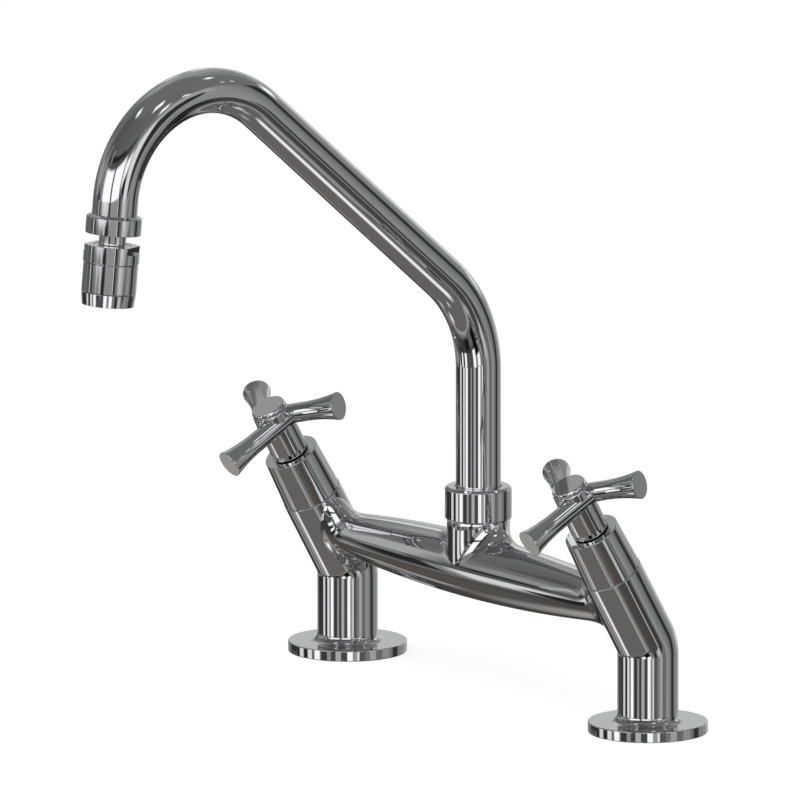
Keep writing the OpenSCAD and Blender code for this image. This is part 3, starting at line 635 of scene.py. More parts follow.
class FAUCET_OT_bridge(FaucetTool, Operator):
    """Build the barrel-shaped bridge with its boss and rolled fillets"""
    bl_idname = "faucet.bridge"
    bl_label = "Bridge"

    def execute(self, context):
        # A cast corner needs the path of a rolling ball, which bevels can't give where a
        # barrel, a boss and two leaning legs meet, so this piece is worked out point by point
        size = context.scene.faucet_sizes
        shape = BridgeShape(size)
        self.points, self.faces, self.seam = [], [], {}
        right = self.half(shape, 1)
        left = self.half(shape, -1)
        self.boss(shape, right, left)
        mesh = bpy.data.meshes.new("bridge_casting")
        mesh.from_pydata([tuple(p) for p in self.points], [], self.faces)
        mesh.update()
        piece = bpy.data.objects.new("bridge_casting", mesh)
        context.scene.collection.objects.link(piece)
        only(piece)
        self.soften_points(size, piece)
        settle(piece, shift(y=riser_y(), z=bridge_z()), "faucet_body", "chrome", "bridge")
        return {"FINISHED"}

    def place(self, point):
        self.points.append(point)
        return len(self.points) - 1

    def columns(self, shape):
        """Theta and the inner end of each column: front to back past the boss, then round
        the underside, where the two halves meet in a seam."""
        upper = [shape.at_boss(math.pi / 2 * i / BOSS_QUARTER)
                 for i in range(-BOSS_QUARTER, BOSS_QUARTER + 1)]
        edge = upper[-1][0]
        lower = [edge + (2 * math.pi - 2 * edge) * i / UNDERSIDE_STEPS
                 for i in range(1, UNDERSIDE_STEPS)]
        return [(theta, on_barrel.x) for theta, on_barrel, *_ in upper] + [(t, 0.0) for t in lower]

    def half(self, shape, side):
        """The right or left half of the barrel, with its fillet, which runs on into the leg."""
        lean = shape.size.lean_angle
        tuck, tuck_share, seam_width = 5 * MM, 0.45, 1e-9
        grid = []
        for k, (theta, inner) in enumerate(self.columns(shape)):
            end, fillet = shape.at_leg(theta)
            column = []
            for i in range(BARREL_STEPS + 1):
                x = inner + (end - inner) * i / BARREL_STEPS
                r = shape.radius_at(x)
                point = Vector((side * x, r * math.sin(theta), r * math.cos(theta)))
                if i == 0 and abs(inner) < seam_width:
                    if k not in self.seam:
                        self.seam[k] = self.place(point)
                    column.append(self.seam[k])
                else:
                    column.append(self.place(point))
            # The fillet's points are turned upright from the leg's lean
            for p in fillet:
                column.append(self.place(Vector((side * p.x,
                                                 p.y * math.cos(lean) - p.z * math.sin(lean),
                                                 p.y * math.sin(lean) + p.z * math.cos(lean)))))
            tip = Vector(self.points[column[-1]])
            column.append(self.place(Vector((side * shape.size.leg_centres / 2 - side * tuck,
                                             tip.y * tuck_share, tip.z * tuck_share))))
            grid.append(column)
        for k, a in enumerate(grid):
            b = grid[(k + 1) % len(grid)]
            for i in range(len(a) - 1):
                self.faces.append([a[i], a[i + 1], b[i + 1], b[i]])
        self.faces.append([column[-1] for column in grid])
        return grid

    def boss(self, shape, right, left):
        """The boss's fillet, wall, top face, threaded neck and bore."""
        top, neck_top = shape.top, BOSS_NECK_TOP * MM - bridge_z()
        chamfer, rounding = 0.12 * MM, 0.03 * MM
        close, least = 0.1 * MM, 0.02 * MM
        around = []
        for i in range(4 * BOSS_QUARTER):
            phi = math.pi / 2 * i / BOSS_QUARTER
            _, on_barrel, on_boss, centre, ball = shape.at_boss(phi)
            if i <= BOSS_QUARTER:
                start = right[BOSS_QUARTER + i][0]
            elif i <= 3 * BOSS_QUARTER:
                start = left[3 * BOSS_QUARTER - i][0]
            else:
                start = right[i - 3 * BOSS_QUARTER][0]
            column = [start]
            for point in roll(centre, on_barrel, on_boss, ball, BOSS_FILLET_STEPS):
                column.append(self.place(point))
            wall_r, foot, wall_top = on_boss.xy.length, on_boss.z, top - chamfer
            # A ring close under the chamfer keeps the wall's shading straight
            below_top = max(wall_top - close, foot + least)
            rings = [(wall_r, foot + (below_top - foot) * j / BOSS_WALL_STEPS)
                     for j in range(1, BOSS_WALL_STEPS + 1)]
            rings += [(wall_r, wall_top), (wall_r - rounding, top - rounding),
                      (wall_r - chamfer, top), (BOSS_NECK_R * MM, top),
                      (BOSS_NECK_R * MM, neck_top), (BOSS_BORE_R * MM, neck_top),
                      (BOSS_BORE_R * MM, BOSS_BORE_FOOT * MM)]
            spoke = Vector((math.cos(phi), math.sin(phi), 0))
            column += [self.place(spoke * r + Vector((0, 0, z))) for r, z in rings]
            around.append(column)
        for k, a in enumerate(around):
            b = around[(k + 1) % len(around)]
            for j in range(len(a) - 1):
                self.faces.append([a[j], b[j], b[j + 1], a[j + 1]])
        self.faces.append([column[-1] for column in around])

    def soften_points(self, size, piece):
        """Smooths the two places where the boss, nearly as wide as the bridge, comes to a
        point, at the front and the back."""
        out, up, reach = size.boss_diameter / 2, 3 * MM, 4 * MM
        for vertex in piece.data.vertices:
            away = Vector((vertex.co.x, abs(vertex.co.y) - out, vertex.co.z - up)).length
            vertex.select = away < reach
        bpy.ops.object.mode_set(mode="EDIT")
        bpy.ops.mesh.select_mode(type="VERT")
        bpy.ops.mesh.vertices_smooth(factor=0.5, repeat=12)


class FAUCET_OT_lock_nut(FaucetTool, Operator):
    """Turn the plain round nut that holds the spout in the boss"""
    bl_idname = "faucet.lock_nut"
    bl_label = "Lock nut"

    def execute(self, context):
        size = context.scene.faucet_sizes
        out_r, high = size.nut_diameter / 2 / MM, size.nut_height / MM
        foot = size.boss_top / MM + JOINT_LINE
        top = foot + high
        lip_r, thread_r = size.tube_diameter / 2 / MM + JOINT_LINE, BOSS_NECK_R + FIT
        chamfer, lip, roof = 1, 3, 5
        outline = [(thread_r, foot), (out_r, foot), (out_r, top - chamfer),
                   (out_r - chamfer, top), (lip_r, top), (lip_r, top - lip),
                   (thread_r, top - roof)]
        piece = turn_outline("spout_lock_nut", outline, sides=FINE_FACETS)
        settle(piece, shift(y=riser_y()), "faucet_body", "chrome", "lock_nut", edge=0.25)
        return {"FINISHED"}


class FAUCET_OT_covers(FaucetTool, Operator):
    """Turn the two bell-shaped covers over the valves"""
    bl_idname = "faucet.covers"
    bl_label = "Valve covers"

    def execute(self, context):
        size = context.scene.faucet_sizes
        low_r, top_r = size.cover_low / 2 / MM, size.cover_high / 2 / MM
        high = size.cover_height / MM
        seat_r, seat, bore_r, hole_r, roof = 10.82, 2, 10, 4.8, 2.4
        outline = [(seat_r, 0), (low_r, 0), (top_r, high), (hole_r, high),
                   (hole_r, high - roof), (bore_r, high - roof), (bore_r, seat), (seat_r, seat)]
        for name, side in SIDES.items():
            piece = turn_outline(f"{name}_valve_cover", outline, sides=FINE_FACETS)
            settle(piece, up_lean(side, size.body_top), "faucet_body", "chrome",
                   f"{name}_cover", edge=0.35)
        return {"FINISHED"}


class FAUCET_OT_handles(FaucetTool, Operator):
    """Turn each handle's hub and flared arms, and set its cap"""
    bl_idname = "faucet.handles"
    bl_label = "Handles and caps"

    def execute(self, context):
        size = context.scene.faucet_sizes
        foot = size.body_top + size.cover_height + HANDLE_GAP * MM
        # The middle of an arm's end lies on its heading, though its line passes aside
        lead = math.asin(size.arm_aside / size.arm_length)
        headings = [math.radians(ARM_HEADING + 360 / ARM_COUNT * i) - lead
                    for i in range(ARM_COUNT)]
        for name, side in SIDES.items():
            hub = self.hub(size, f"{name}_cross_handle")
            arms = [self.arm(size, heading) for heading in headings]
            only(hub)
            for arm in arms:
                arm.select_set(True)
            bpy.ops.object.join()
            bpy.ops.object.mode_set(mode="EDIT")
            settle(hub, up_lean(side, foot), f"{name}_handle_set", "chrome", f"{name}_handle")
            cap = self.cap(size, f"{name}_index_cap")
            settle(cap, up_lean(side, foot + size.hub_height), f"{name}_handle_set", "chrome",
                   f"{name}_cap", edge=0.12)
        return {"FINISHED"}

    def hub(self, size, name):
        """A plain drum above a groove and a foot, with a screw hole and a pocket for the cap."""
        r, high = size.hub_diameter / 2 / MM, size.hub_height / MM
        foot_r, waist_r, foot = 7.5, 7.2, 2.0
        hole_r, mouth_r, mouth = 2.65, 4.1, 0.5
        pocket_r, pocket = 5.1, 8.6
        taper, taper_h = 0.42, 0.9
        outline = [(hole_r, mouth), (mouth_r, 0), (foot_r, 0), (waist_r, foot), (r, foot),
                   (r, high - taper_h), (r - taper, high), (pocket_r, high),
                   (pocket_r, high - pocket), (hole_r, high - pocket)]
        piece = turn_outline(name, outline)
        round_edges(0.3 * MM)
        bpy.ops.object.mode_set(mode="OBJECT")
        return piece

    def arm(self, size, heading):
        """A bar that flares in a long hollow curve to a flat round end."""
        root, end = size.arm_root / 2 / MM, size.arm_end / 2 / MM
        aside, steps = size.arm_aside / MM, 16
        far = math.sqrt((size.arm_length / MM) ** 2 - aside ** 2)
        rise = end - root
        hollow_r = ((far - ARM_STRAIGHT) ** 2 + rise ** 2) / (2 * rise)
        # Each arm sets out inside the next one, since they pass beside the hub's axis
        start = -aside * math.tan(math.pi / ARM_COUNT)
        tuck, tuck_length = 0.6, 3
        outline = [(root - tuck, start), (root, start + tuck_length)]
        for i in range(steps + 1):
            s = ARM_STRAIGHT + (far - ARM_STRAIGHT) * i / steps
            drop = math.sqrt(hollow_r ** 2 - (s - ARM_STRAIGHT) ** 2)
            outline.append((root + hollow_r - drop, s))
        piece = turn_outline("arm", outline, closed=False, sides=64)
        round_edges(0.22 * MM, sharpness=math.radians(50))
        bpy.ops.object.mode_set(mode="OBJECT")
        only(piece)
        piece.matrix_world = (Matrix.Rotation(heading, 4, "Z")
                              @ shift(y=size.arm_aside, z=size.arm_place)
                              @ Matrix.Rotation(math.pi / 2, 4, "Y"))
        bpy.ops.object.transform_apply(location=True, rotation=True, scale=True)
        return piece

    def cap(self, size, name):
        """A plug with a groove under its rim and a chamfered top."""
        r = size.cap_diameter / 2 / MM
        plug_r, plug, groove, groove_h = 5.08, 3, 0.5, 0.4
        rim, top, chamfer = 1.1, 2, 0.45
        outline = [(plug_r, -plug), (plug_r, 0), (r - groove, 0), (r - groove, groove_h),
                   (r, groove_h), (r, rim), (r - chamfer, top)]
        return turn_outline(name, outline, closed=False)


class FAUCET_OT_spout(FaucetTool, Operator):
    """Bend the spout tube: riser, slope, gooseneck and end"""
    bl_idname = "faucet.spout"
    bl_label = "Spout tube"

    def execute(self, context):
        size = context.scene.faucet_sizes
        over = math.pi - size.slope_angle - size.outlet_angle
        piece = start_ring("spout_tube_bent", size.tube_diameter / 2)
        now = Matrix.Identity(4)
        steps = [(riser_length(), size.spout_bend, size.slope_angle, SPOUT_BEND_STEPS),
                 (slope_length(), size.gooseneck_radius, over, GOOSENECK_STEPS)]
        for straight, radius, angle, count in steps:
            sweep_step(straight, now)
            now = now @ shift(z=straight)
            sweep_bend(radius, angle, now, count)
            now = now @ past_bend(radius, angle)
        sweep_step((COLLAR_TOP + TUBE_TUCK) * MM, now)
        bpy.ops.mesh.select_all(action="SELECT")
        bpy.ops.mesh.normals_make_consistent(inside=False)
        bpy.ops.object.mode_set(mode="OBJECT")
        only(piece)
        apply_modifier(piece, "SOLIDIFY", thickness=TUBE_WALL * MM, offset=-1)
        bpy.ops.object.mode_set(mode="EDIT")
        settle(piece, shift(y=riser_y(), z=BUSH_FLANGE_TOP * MM), "spout", "chrome",
               "spout_tube")
        return {"FINISHED"}


class FAUCET_OT_outlet(FaucetTool, Operator):
    """Turn the end collar, the ball stem and the outlet head"""
    bl_idname = "faucet.outlet"
    bl_label = "Outlet"

    def execute(self, context):
        size = context.scene.faucet_sizes
        self.collar(size)
        self.stem(size)
        self.ring(size)
        self.barrel(size)
        self.mouth(size)
        return {"FINISHED"}

    def collar(self, size):
        """The spout's end, with a shoulder that slopes up to the tube."""
        out_r, tube_r = size.collar_diameter / 2 / MM, size.tube_diameter / 2 / MM
        top = COLLAR_FACE - COLLAR_TOP
        bore_r, floor, lip, socket_r = 7.45, 3, 0.5, tube_r + FIT
        outline = [(bore_r, 0), (out_r, 0), (out_r, top - COLLAR_SHOULDER), (tube_r + lip, top),
                   (socket_r, top), (socket_r, floor), (bore_r, floor)]
        piece = turn_outline("spout_end_collar", outline, sides=FINE_FACETS)
        settle(piece, along_outlet(COLLAR_FACE * MM), "spout", "chrome", "end_collar",
               edge=0.25)

    def stem(self, size):
        """A hollow neck that runs down into a ball, cut flat at its foot."""
        ball_r, neck_r = size.ball_diameter / 2 / MM, size.neck_diameter / 2 / MM
        high = STEM_FOOT - COLLAR_FACE
        bore_r, head_r, head, groove_foot = 2.8, 6.5, 3, 1.4
        shoulder_r, flare, flat_r, flat, steps = 7.4, 0.3, 4.5, 6.6, 24
        # The ball is faced off flat round the neck, a little below the socket ring's top
        start = math.acos(BALL_FACE / ball_r)
        end = math.pi - math.asin(flat_r / ball_r)
        arc = [start + (end - start) * i / steps for i in range(steps + 1)]
        outline = [(bore_r, high + head), (head_r, high + head), (head_r, high + groove_foot),
                   (shoulder_r, high + groove_foot), (shoulder_r, high), (neck_r, high),
                   (neck_r, BALL_FACE + flare), (neck_r + flare, BALL_FACE)]
        outline += [(ball_r * math.sin(a), ball_r * math.cos(a)) for a in arc]
        outline += [(bore_r, -flat)]
        piece = turn_outline("swivel_ball_stem", outline)
        settle(piece, at_ball(), "swivel", "chrome", "ball_stem", edge=0.12)

    def ring(self, size):
        """The ring that holds the ball, hollowed to fit it."""
        clearance = 0.05
        ring_r = size.ring_diameter / 2 / MM
        ball_r = size.ball_diameter / 2 / MM + clearance
        bore_r, bore_top, lip_r, lip, past_middle, steps = 9.92, 0.9, 7.6, 1, 0.1, 12
        start = math.asin(lip_r / ball_r)
        arc = [start + i / steps * (math.pi / 2 - start + past_middle)
               for i in range(steps + 1)]
        outline = [(bore_r, -HEAD_LOW), (ring_r, -HEAD_LOW), (ring_r, HEAD_TOP),
                   (lip_r, HEAD_TOP), (lip_r, HEAD_TOP - lip)]
        outline += [(ball_r * math.sin(a), ball_r * math.cos(a)) for a in arc]
        outline += [(bore_r, -bore_top)]
        ring = turn_outline("socket_ring_flatted", outline, sides=FINE_FACETS)
        round_edges(0.15 * MM)
        self.cut_flats(ring)
        settle(ring, at_ball(), "outlet_head", "chrome", "socket_ring")

    def barrel(self, size):
        """The head's middle, with a nose up into the ring and a ledge for the flow pieces."""
        out_r = size.barrel_diameter / 2 / MM
        ledge_r, ledge, cone, bore_r = 7, 9.5, 1, 9.2
        nose_bore_r, nose_r, nose = 8.6, 9.88, 0.8
        outline = [(ledge_r, -ledge), (nose_bore_r, cone - ledge), (nose_bore_r, -nose),
                   (nose_r, -nose), (nose_r, -BARREL_TOP), (out_r, -BARREL_TOP),
                   (out_r, -BARREL_FOOT), (bore_r, -BARREL_FOOT), (bore_r, -ledge)]
        barrel = turn_outline("outlet_barrel", outline, sides=FINE_FACETS)
        settle(barrel, at_ball(), "outlet_head", "chrome", "head_barrel", edge=0.15)

    def mouth(self, size):
        """The head's tapered end, with a nose up into the barrel."""
        out_r, foot_r = size.barrel_diameter / 2 / MM, size.mouth_diameter / 2 / MM
        bore_r, top, nose_r, lip_r, lip = 8.2, 11.6, 9.18, 7.4, 1
        outline = [(bore_r, -top), (nose_r, -top), (nose_r, -MOUTH_TOP), (out_r, -MOUTH_TOP),
                   (foot_r, -MOUTH_FOOT), (lip_r, -MOUTH_FOOT), (lip_r, -MOUTH_FOOT + lip),
                   (bore_r, -MOUTH_FOOT + lip)]
        mouth = turn_outline("outlet_mouth_ring", outline, sides=FINE_FACETS)
        settle(mouth, at_ball(), "outlet_head", "chrome", "mouth_ring", edge=0.15)

    def cut_flats(self, ring):
        """Mills the two spanner flats into the socket ring's upper edge."""
        across, high, undercut = 18.3, 2.8, math.radians(9)
        depth, width = 10 * MM, 40 * MM
        bpy.ops.object.mode_set(mode="OBJECT")
        for angle in (30, 210):
            bpy.ops.object.select_all(action="DESELECT")
            bpy.ops.mesh.primitive_cube_add(size=1)
            cutter = bpy.context.object
            # The cutter leans outward, so that each flat is slightly undercut
            cutter.matrix_world = (Matrix.Rotation(math.radians(angle), 4, "Z")
                                   @ shift(across / 2 * MM, 0, (HEAD_TOP - high) * MM)
                                   @ Matrix.Rotation(undercut, 4, "Y")
                                   @ shift(depth / 2, 0, depth / 2)
                                   @ Matrix.Diagonal((depth, width, depth, 1)))
            only(ring)
            apply_modifier(ring, "BOOLEAN", operation="DIFFERENCE", object=cutter,
                           solver="EXACT")
            bpy.data.objects.remove(cutter)
        bpy.ops.object.mode_set(mode="EDIT")


class FAUCET_OT_carried(FaucetTool, Operator):
    """Give the solids that stay, mostly hidden ones, their own materials"""
    bl_idname = "faucet.carried"
    bl_label = "Inner pieces"

    def execute(self, context):
        for name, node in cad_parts.items():
            slot = self.slot_for(name)
            node.data.materials.clear()
            node.data.materials.append(material_for(slot))
        return {"FINISHED"}

    def slot_for(self, name):
        for words, slot in ((("seal", "o_ring", "flow_washer"), "rubber"),
                            (("disc",), "ceramic"),
                            (("bearing_ring", "flow_insert"), "plastic"),
                            (("circlip", "screw", "back_washers", "screen"), "steel"),
                            (("cartridge", "spindle", "tail", "back_nuts"), "brass")):
            if any(word in name for word in words):
                return slot
        return "chrome"


class FAUCET_OT_studio(FaucetTool, Operator):
    """Set the floor, the cards that the chrome mirrors, the lamps, the world and the camera"""
    bl_idname = "faucet.studio"
    bl_label = "Studio"

    def execute(self, context):
        self.world(context)
        self.floor(context)
        self.cards()
        self.hide_below_deck()
        self.lamps()
        self.camera(context)
        return {"FINISHED"}

    def hide_below_deck(self):
        """The deck keeps what is below it out of the mirrors above."""
        for name in ("hot_tail", "cold_tail", "back_nuts", "back_washers", "deck_seals"):
            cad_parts[name].visible_glossy = False

    def world(self, context):
        """White for the camera and for mirrors, and a plain pale light for the rest."""
        world = bpy.data.worlds.new("studio_world")
        context.scene.world = world
        world.use_nodes = True
        tree = world.node_tree
        tree.nodes.clear()
        path = add_node(tree, "ShaderNodeLightPath")
        seen = add_node(tree, "ShaderNodeMath", {0: path.outputs["Is Camera Ray"],
                                                 1: path.outputs["Is Glossy Ray"]},
                        operation="MAXIMUM")
        shown = add_node(tree, "ShaderNodeMath", {0: seen.outputs[0],
                                                  1: path.outputs["Is Transmission Ray"]},
                         operation="MAXIMUM")
        strength = add_node(tree, "ShaderNodeMapRange", {"Value": shown.outputs[0]},
                            {"To Min": 0.7, "To Max": 1.0})
        back = add_node(tree, "ShaderNodeBackground", {"Strength": strength.outputs["Result"]},
                        {"Color": (1, 1, 1, 1)})
        add_node(tree, "ShaderNodeOutputWorld", {"Surface": back.outputs[0]})

    def floor(self, context):
        """A pale floor that shows only the faucet's soft shadow on white."""
        bpy.ops.object.select_all(action="DESELECT")
        bpy.ops.mesh.primitive_plane_add(size=FLOOR_SIZE)
        floor = bpy.context.object
        floor.name = "studio_floor"
        material, tree = new_material("painted_floor")
        path = add_node(tree, "ShaderNodeLightPath")
        # The paint is dimmed and only the camera sees a glow on it, which makes it white
        # without more light on the faucet
        dimmed, glow_strength = 0.25, 0.8
        paint = add_node(tree, "ShaderNodeBsdfDiffuse", values={
            "Color": (*[dimmed * c for c in context.scene.faucet_studio.floor_colour], 1)})
        lift = add_node(tree, "ShaderNodeMapRange", {"Value": path.outputs["Is Camera Ray"]},
                        {"To Min": 0.0, "To Max": glow_strength})
        glow = add_node(tree, "ShaderNodeEmission", {"Strength": lift.outputs["Result"]},
                        {"Color": (1, 1, 1, 1)})
        both = add_node(tree, "ShaderNodeAddShader", {0: paint.outputs[0], 1: glow.outputs[0]})
        close_material(tree, both)
        floor.data.materials.append(material)
        # The mirrors look past the floor to the cards, which reach below it
        floor.visible_glossy = False

    def glow_material(self, name, tree_maker, strength):
        """A card's light, faded out to nothing toward its edges."""
        material, tree = new_material(name)
        colour, fades = tree_maker(tree)
        glow = add_node(tree, "ShaderNodeEmission", {"Color": colour}, {"Strength": strength})
        for fade in fades:
            clear = add_node(tree, "ShaderNodeBsdfTransparent")
            glow = add_node(tree, "ShaderNodeMixShader",
                            {0: fade, 1: clear.outputs[0], 2: glow.outputs[0]})
        close_material(tree, glow)
        material.cycles.emission_sampling = "NONE"
        return material

    def hide_card(self, card):
        """Only mirrors see a card."""
        card.visible_camera = False
        card.visible_diffuse = False
        card.visible_shadow = False
        card.visible_transmission = False

    def card(self, name, start, end, low, high, first, last=None, soft=0.0, strength=1.0,
             layer=0, near=1.0, faded=("start", "end", "low", "high")):
        """A card bent round the faucet between two headings and two elevations, in degrees.
        Its grey may run from one to another, and its faded edges fade over soft degrees."""
        radius = near * (ROOM_R - layer * CARD_GAP)
        bottom, top = radius * math.tan(math.radians(low)), radius * math.tan(math.radians(high))
        bpy.ops.object.select_all(action="DESELECT")
        bpy.ops.mesh.primitive_plane_add(size=1)
        card = bpy.context.object
        card.name = f"card_{name}"
        a = math.radians(start)
        bpy.ops.object.mode_set(mode="EDIT")
        bpy.ops.mesh.delete(type="ONLY_FACE")
        bpy.ops.mesh.select_all(action="SELECT")
        bpy.ops.mesh.merge(type="CENTER")
        bpy.ops.transform.translate(value=(radius * math.cos(a), radius * math.sin(a), bottom))
        bpy.ops.mesh.extrude_region_move(TRANSFORM_OT_translate={"value": (0, 0, top - bottom)})
        bpy.ops.mesh.select_all(action="SELECT")
        bpy.ops.mesh.spin(steps=max(2, int((end - start) / CARD_FACET)),
                          angle=math.radians(end - start), center=(0, 0, 0), axis=(0, 0, -1))
        bpy.ops.object.mode_set(mode="OBJECT")

        def shade(tree):
            place = add_node(tree, "ShaderNodeTexCoord")
            centred = add_node(tree, "ShaderNodeMapping", {"Vector": place.outputs["Object"]},
                               {"Rotation": (0, 0, -math.radians((start + end) / 2))})
            heading = add_node(tree, "ShaderNodeTexGradient",
                               {"Vector": centred.outputs["Vector"]}, gradient_type="RADIAL")
            near_end, far_end = 0.5 - (end - start) / 720, 0.5 + (end - start) / 720
            along = add_node(tree, "ShaderNodeMapRange", {"Value": heading.outputs["Fac"]},
                             {"From Min": near_end, "From Max": far_end})
            tone = add_node(tree, "ShaderNodeValToRGB", {"Fac": along.outputs["Result"]})
            tone.color_ramp.elements[0].color = (*linear_colour(first), 1)
            tone.color_ramp.elements[1].color = (*linear_colour(last or first), 1)
            fades = []
            if soft:
                level = add_node(tree, "ShaderNodeSeparateXYZ", {"Vector": place.outputs["Object"]})
                turn_soft = soft / 360
                low_soft = radius * math.radians(soft) / math.cos(math.radians(low)) ** 2
                high_soft = radius * math.radians(soft) / math.cos(math.radians(high)) ** 2
                for edge, source, begin, full in (
                        ("start", heading.outputs["Fac"], near_end, near_end + turn_soft),
                        ("end", heading.outputs["Fac"], far_end, far_end - turn_soft),
                        ("low", level.outputs["Z"], bottom, bottom + low_soft),
                        ("high", level.outputs["Z"], top, top - high_soft)):
                    if edge not in faded:
                        continue
                    ramp = add_node(tree, "ShaderNodeMapRange", {"Value": source},
                                    {"From Min": begin, "From Max": full})
                    fades.append(ramp.outputs["Result"])
            return tone.outputs["Color"], fades

        card.data.materials.append(self.glow_material(card.name, shade, strength))
        self.hide_card(card)

    def disc(self, name, code, height, radius, centre=(0, 0), soft=False, strength=1.0):
        """A round card on the floor or ceiling, with a soft edge where it is a pool of light."""
        bpy.ops.object.select_all(action="DESELECT")
        bpy.ops.mesh.primitive_circle_add(vertices=64, radius=radius, fill_type="NGON",
                                          location=(*centre, height))
        card = bpy.context.object
        card.name = f"card_{name}"

        def shade(tree):
            tone = add_node(tree, "ShaderNodeRGB")
            tone.outputs[0].default_value = (*linear_colour(code), 1)
            fades = []
            if soft:
                place = add_node(tree, "ShaderNodeTexCoord")
                scaled = add_node(tree, "ShaderNodeMapping", {"Vector": place.outputs["Object"]},
                                  {"Scale": (1 / radius, 1 / radius, 1)})
                ball = add_node(tree, "ShaderNodeTexGradient", {"Vector": scaled.outputs["Vector"]},
                                gradient_type="SPHERICAL")
                ramp = add_node(tree, "ShaderNodeMapRange", {"Value": ball.outputs["Fac"]},
                                {"From Min": 0.0, "From Max": 0.8})
                fades.append(ramp.outputs["Result"])
            return tone.outputs[0], fades

        card.data.materials.append(self.glow_material(card.name, shade, strength))
        self.hide_card(card)

    def pool(self, name, heading, below, spread, code, strength=1.0):
        """A pool of light on the dim floor, a heading round and an angle below the faucet."""
        away = FLOOR_DROP / math.tan(math.radians(below))
        a = math.radians(heading)
        radius = FLOOR_DROP / math.sin(math.radians(below)) * math.tan(math.radians(spread))
        self.disc(f"pool_{name}", code, -FLOOR_DROP, radius,
                  (away * math.cos(a), away * math.sin(a)), True, strength)

    def cards(self):
        """The room that the chrome mirrors, which the faucet's camera doesn't see: plain
        walls, then windows, flags and lamps in front of them, then stripes, then the floor."""
        self.walls()
        self.windows()
        self.side_cards()
        self.stripes()
        self.ceiling()
        self.ground()

    def walls(self):
        """Plain walls, and the dimmer band below them that runs down to the floor."""
        for name, start, end, low, first, last in (
                ("right", -20, 15, -23, "#8E8E8E", "#9A9A9A"),
                ("right_rear", 15, 62, -23, "#B8B8B8", "#7A7A7A"),
                ("rear_flag", 62, 77, -21, "#3A3A3A", "#3E3E3E"),
                ("rear", 77, 110, -17.5, "#8A8A8A", "#A4A4A4"),
                ("rear_pale", 110, 142, -18, "#ACACAC", "#D4D4D4"),
                ("rear_left", 142, 165, -19, "#C4C4C4", "#8A8A8A"),
                ("left", 165, 216, -22, "#808080", "#7A7A7A"),
                ("front_left", 216, 252, -22, "#7A7A7A", "#9A9A9A"),
                ("front", 252, 340, -22, "#6C6C6C", "#727272")):
            self.card(f"wall_{name}", start, end, low, 28, first, last, soft=6, layer=1,
                      faded=("high",))
        for name, start, end, first, last in (
                ("right", 0, 45, "#545250", "#4C4A48"), ("rear", 45, 130, "#393837", "#3B3A39"),
                ("rear_left", 130, 178, "#484644", "#4A4846"),
                ("left", 178, 232, "#514E4B", "#575451"),
                ("front_left", 232, 290, "#474543", "#3B3938"),
                ("front", 290, 333, "#484644", "#464443"),
                ("near_right", 333, 360, "#5E5A57", "#565350")):
            self.card(f"skirting_{name}", start, end, -54, -17, first, last, soft=12,
                      faded=("low",))

    def windows(self):
        """Two large windows and a small one at the front, under a dark arch."""
        for name, start, end, low, high, strength in (
                ("left", 250, 294, -3, 23, 1.4), ("middle", 298, 336, -4, 23, 1.4),
                ("right", 337, 355, 1, 17, 1.25)):
            self.card(f"window_{name}", start, end, low, high, "#FFFFFF", soft=3,
                      strength=strength, layer=3)
        for name, start, end, low, high, code in (
                ("lintel", 244, 348, 19, 28, "#555555"), ("pier", 291, 301, -14, 28, "#454545"),
                ("arch_left", 238, 266, 22, 29, "#2A2A2A"), ("arch", 260, 318, 26, 33, "#2A2A2A"),
                ("arch_right", 312, 348, 22, 30, "#2A2A2A")):
            self.card(f"window_{name}", start, end, low, high, code, soft=2, layer=1)
        self.card("window_glow", 350, 360, 3, 15, "#BDBDBD", soft=4, layer=2)

    def side_cards(self):
        """What stands along the walls: lights, dark squares and thin bright posts."""
        for name, start, end, low, high, code, soft in (
                ("dark_right", 343, 359, -6, 7, "#222222", 4),
                ("dark_right_low", 348, 360, -24, -13, "#262626", 2),
                ("right_glow", -4, 17, -10, 19, "#FAFAFA", 4),
                ("right_low_glow", 3, 16, -23, -13, "#D4D4D4", 2),
                ("square_head", 13, 37, 9, 21, "#B8B8B8", 2.5),
                ("square", 16, 33.5, -8.5, 11.5, "#363636", 1),
                ("square_low", 16, 33.5, -22, -13.5, "#444444", 1.5),
                ("rear_flag_head", 59, 80, 17, 29, "#303030", 3),
                ("rear_streak", 89, 124, 3, 13, "#FAFAFA", 4),
                ("rear_streak_low", 98, 126, -11, 2, "#D4D4D4", 5),
                ("rear_mid", 126, 158, 1, 17, "#CACACA", 5),
                ("rear_post", 139, 148, 15, 31, "#F2F2F2", 3),
                ("rear_post_left", 149, 159, 20, 31, "#F2F2F2", 3),
                ("left_spot", 168, 182, 6, 20, "#484848", 4),
                ("left_pale", 181, 206, 3, 16, "#9E9E9E", 3),
                ("left_bar", 180, 207, -13, -7, "#343434", 1.5),
                ("left_low_pale", 175, 205, -22, -13, "#A8A8A8", 2),
                ("left_light", 204, 218, -4, 19, "#BEBEBE", 4),
                ("left_dark", 205, 218, -20, -3, "#2C2C2C", 3.5),
                ("left_upper", 217, 230, 4, 18, "#A2A2A2", 3.5),
                ("left_middle", 217, 230, -6, 7, "#333333", 3.5),
                ("left_lower", 214, 229, -20, -3, "#F4F4F4", 4),
                ("left_flag", 228, 236, -22, 4, "#404040", 2),
                ("left_post", 196, 198, 2, 24, "#D8D8D8", 0.5),
                ("front_left_post", 226, 228, 2, 33, "#F0F0F0", 0.5),
                ("window_post", 244, 246, -2, 20, "#FFFFFF", 0.5),
                ("window_gap", 239, 242, -4, 18, "#3C3C3C", 0.8),
                ("arch_post", 257, 259, 24, 36, "#FFFFFF", 0.5)):
            self.card(name, start, end, low, high, code, soft=soft, layer=5)

